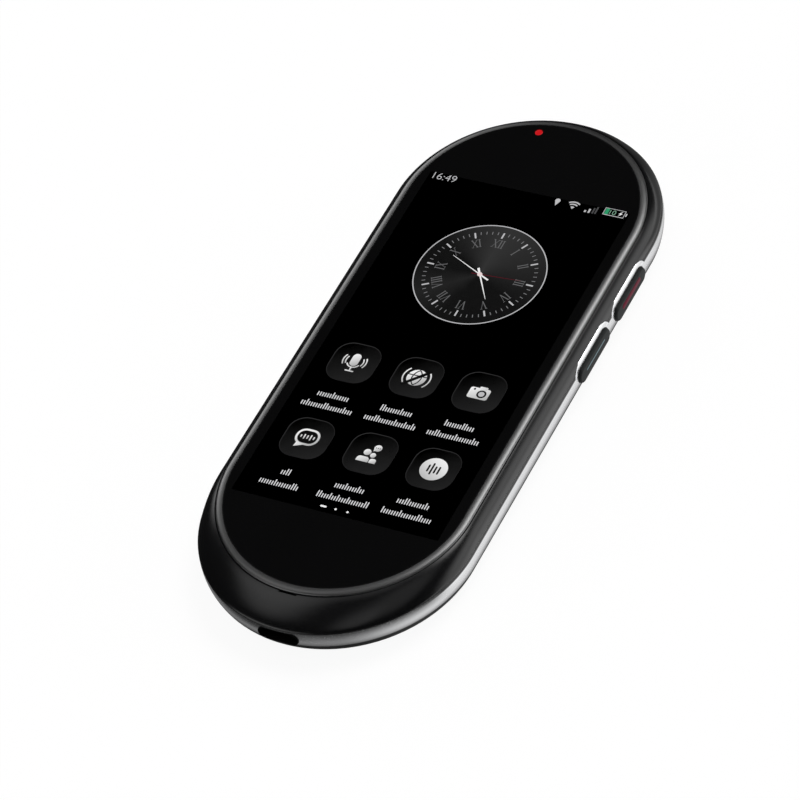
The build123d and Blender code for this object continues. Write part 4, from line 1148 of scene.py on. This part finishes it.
def floor_finish():
    """White floor. The camera sees its own pale light with a share of the room's light on top, so
    the floor is white and keeps its shadow. Mirrored in the silver it shows painted light: a sweep
    that is dim on the left, a painted shadow under the casing's edge, and painted light that grows
    bright to the right of the handset. Past both ends and on the left the painted light is only a
    narrow strip beside the casing. How far a point lies out from the casing is its distance from
    the oblong's spine less its radius."""
    material = bpy.data.materials.new("studio_floor")
    material.use_nodes = True
    tree = material.node_tree
    tree.nodes.clear()

    def added(colour, strength):
        """A diffuse surface with light of its own on top."""
        plain = add(tree, "BsdfDiffuse", {"Color": (colour, colour, colour, 1)})
        own = add(tree, "Emission", {"Strength": strength})
        return add(tree, "AddShader", {0: plain.outputs[0], 1: own.outputs[0]}).outputs[0]

    place = add(tree, "TexCoord").outputs["Object"]
    split = add(tree, "SeparateXYZ", {"Vector": place})
    past = joined(tree, "SUBTRACT", joined(tree, "ABSOLUTE", split.outputs["Y"], 0.0),
                  (body_length - body_width) / 2)
    spine = joined(tree, "MAXIMUM", past, 0.0)
    sideways = joined(tree, "ABSOLUTE", split.outputs["X"], 0.0)
    squares = joined(tree, "ADD", joined(tree, "POWER", sideways, 2.0), joined(tree, "POWER", spine, 2.0))
    out_from = joined(tree, "SUBTRACT", joined(tree, "SQRT", squares, 0.0), body_width / 2)
    # painted light on the mirrored floor from left to right, and a painted shadow under the casing's edge
    across = joined(tree, "ADD", eased(tree, split.outputs["X"], (12 * MM, 32 * MM), (0.23, 0.74)),
                    eased(tree, split.outputs["X"], (32 * MM, 42 * MM), (0.0, 0.5)))
    contact = eased(tree, out_from, (0.0, 2.5 * MM), (0.35, 1.0))
    # past both ends and on the left the painted light is only a narrow strip beside the casing
    ends = joined(tree, "MAXIMUM", eased(tree, split.outputs["Y"], (-58 * MM, -47 * MM), (1.0, 0.0)),
                  eased(tree, split.outputs["Y"], (47 * MM, 58 * MM), (0.0, 0.72)))
    past_end = joined(tree, "MULTIPLY", ends,
                      eased(tree, split.outputs["X"], (40 * MM, 60 * MM), (1.0, 0.0)))
    on_left = eased(tree, split.outputs["X"], (-5 * MM, 15 * MM), (1.0, 0.0))
    strip_right = eased(tree, out_from, (2.5 * MM, 10.5 * MM), (0.0, 1.0))
    strip_left = eased(tree, out_from, (1.5 * MM, 6.0 * MM), (0.0, 1.0))
    painted_unlit_share = joined(tree, "MAXIMUM", joined(tree, "MULTIPLY", strip_right, past_end),
                  joined(tree, "MULTIPLY", strip_left, on_left))
    painted_lit_share = joined(tree, "SUBTRACT", 1.0, painted_unlit_share)
    painted_floor_light = joined(tree, "MULTIPLY", across, contact)
    mirrored = added(0.04, joined(tree, "MULTIPLY", painted_floor_light, painted_lit_share))
    shown_by_ray(tree, mirrored, added(seen_tone, seen_light), "OutputMaterial")
    return material


reach = 1.5
floor_points = np.array([[-reach, -reach], [reach, -reach], [reach, reach], [-reach, reach]])
floor_points = np.column_stack([floor_points, np.full(4, -0.02 * MM)])   # just clear of the back
floor = make_mesh("floor", floor_points, [[0, 1, 2, 3]])
floor.data.materials.append(floor_finish())

# %% [markdown]
# The camera looks from the front right at about 46 degrees, rolled to the left, through a long
# lens. A point to aim at, a distance and three angles say where it stands: its own back axis points
# from the aim to the camera, its right axis is level, and the roll turns both about the back axis.

# %% Camera
camera_aim = Vector((-4.11, -8.99, 6.0)) * MM
camera_distance = 928.68 * MM
camera_heading = -37.02       # degrees from +Y towards +X
camera_elevation = 45.915
camera_roll = -15.04
lens_mm = 205.04
film_mm = 36.0
camera_data = bpy.data.cameras.new("camera")
camera_data.lens = lens_mm
camera_data.sensor_width = film_mm
camera = bpy.data.objects.new("camera", camera_data)
bpy.context.scene.collection.objects.link(camera)
back = Vector(toward(camera_heading + 180, camera_elevation))
level_right = Vector(toward(camera_heading + 90, 0))
upright = Matrix([level_right, back.cross(level_right), back]).transposed().to_4x4()
turned_to = upright @ Matrix.Rotation(math.radians(camera_roll), 4, "Z")
camera.matrix_world = Matrix.Translation(camera_aim + back * camera_distance) @ turned_to
bpy.context.scene.camera = camera
bpy.context.scene.view_settings.view_transform = "Standard"
print("camera", round(camera_distance, 3), "m away")
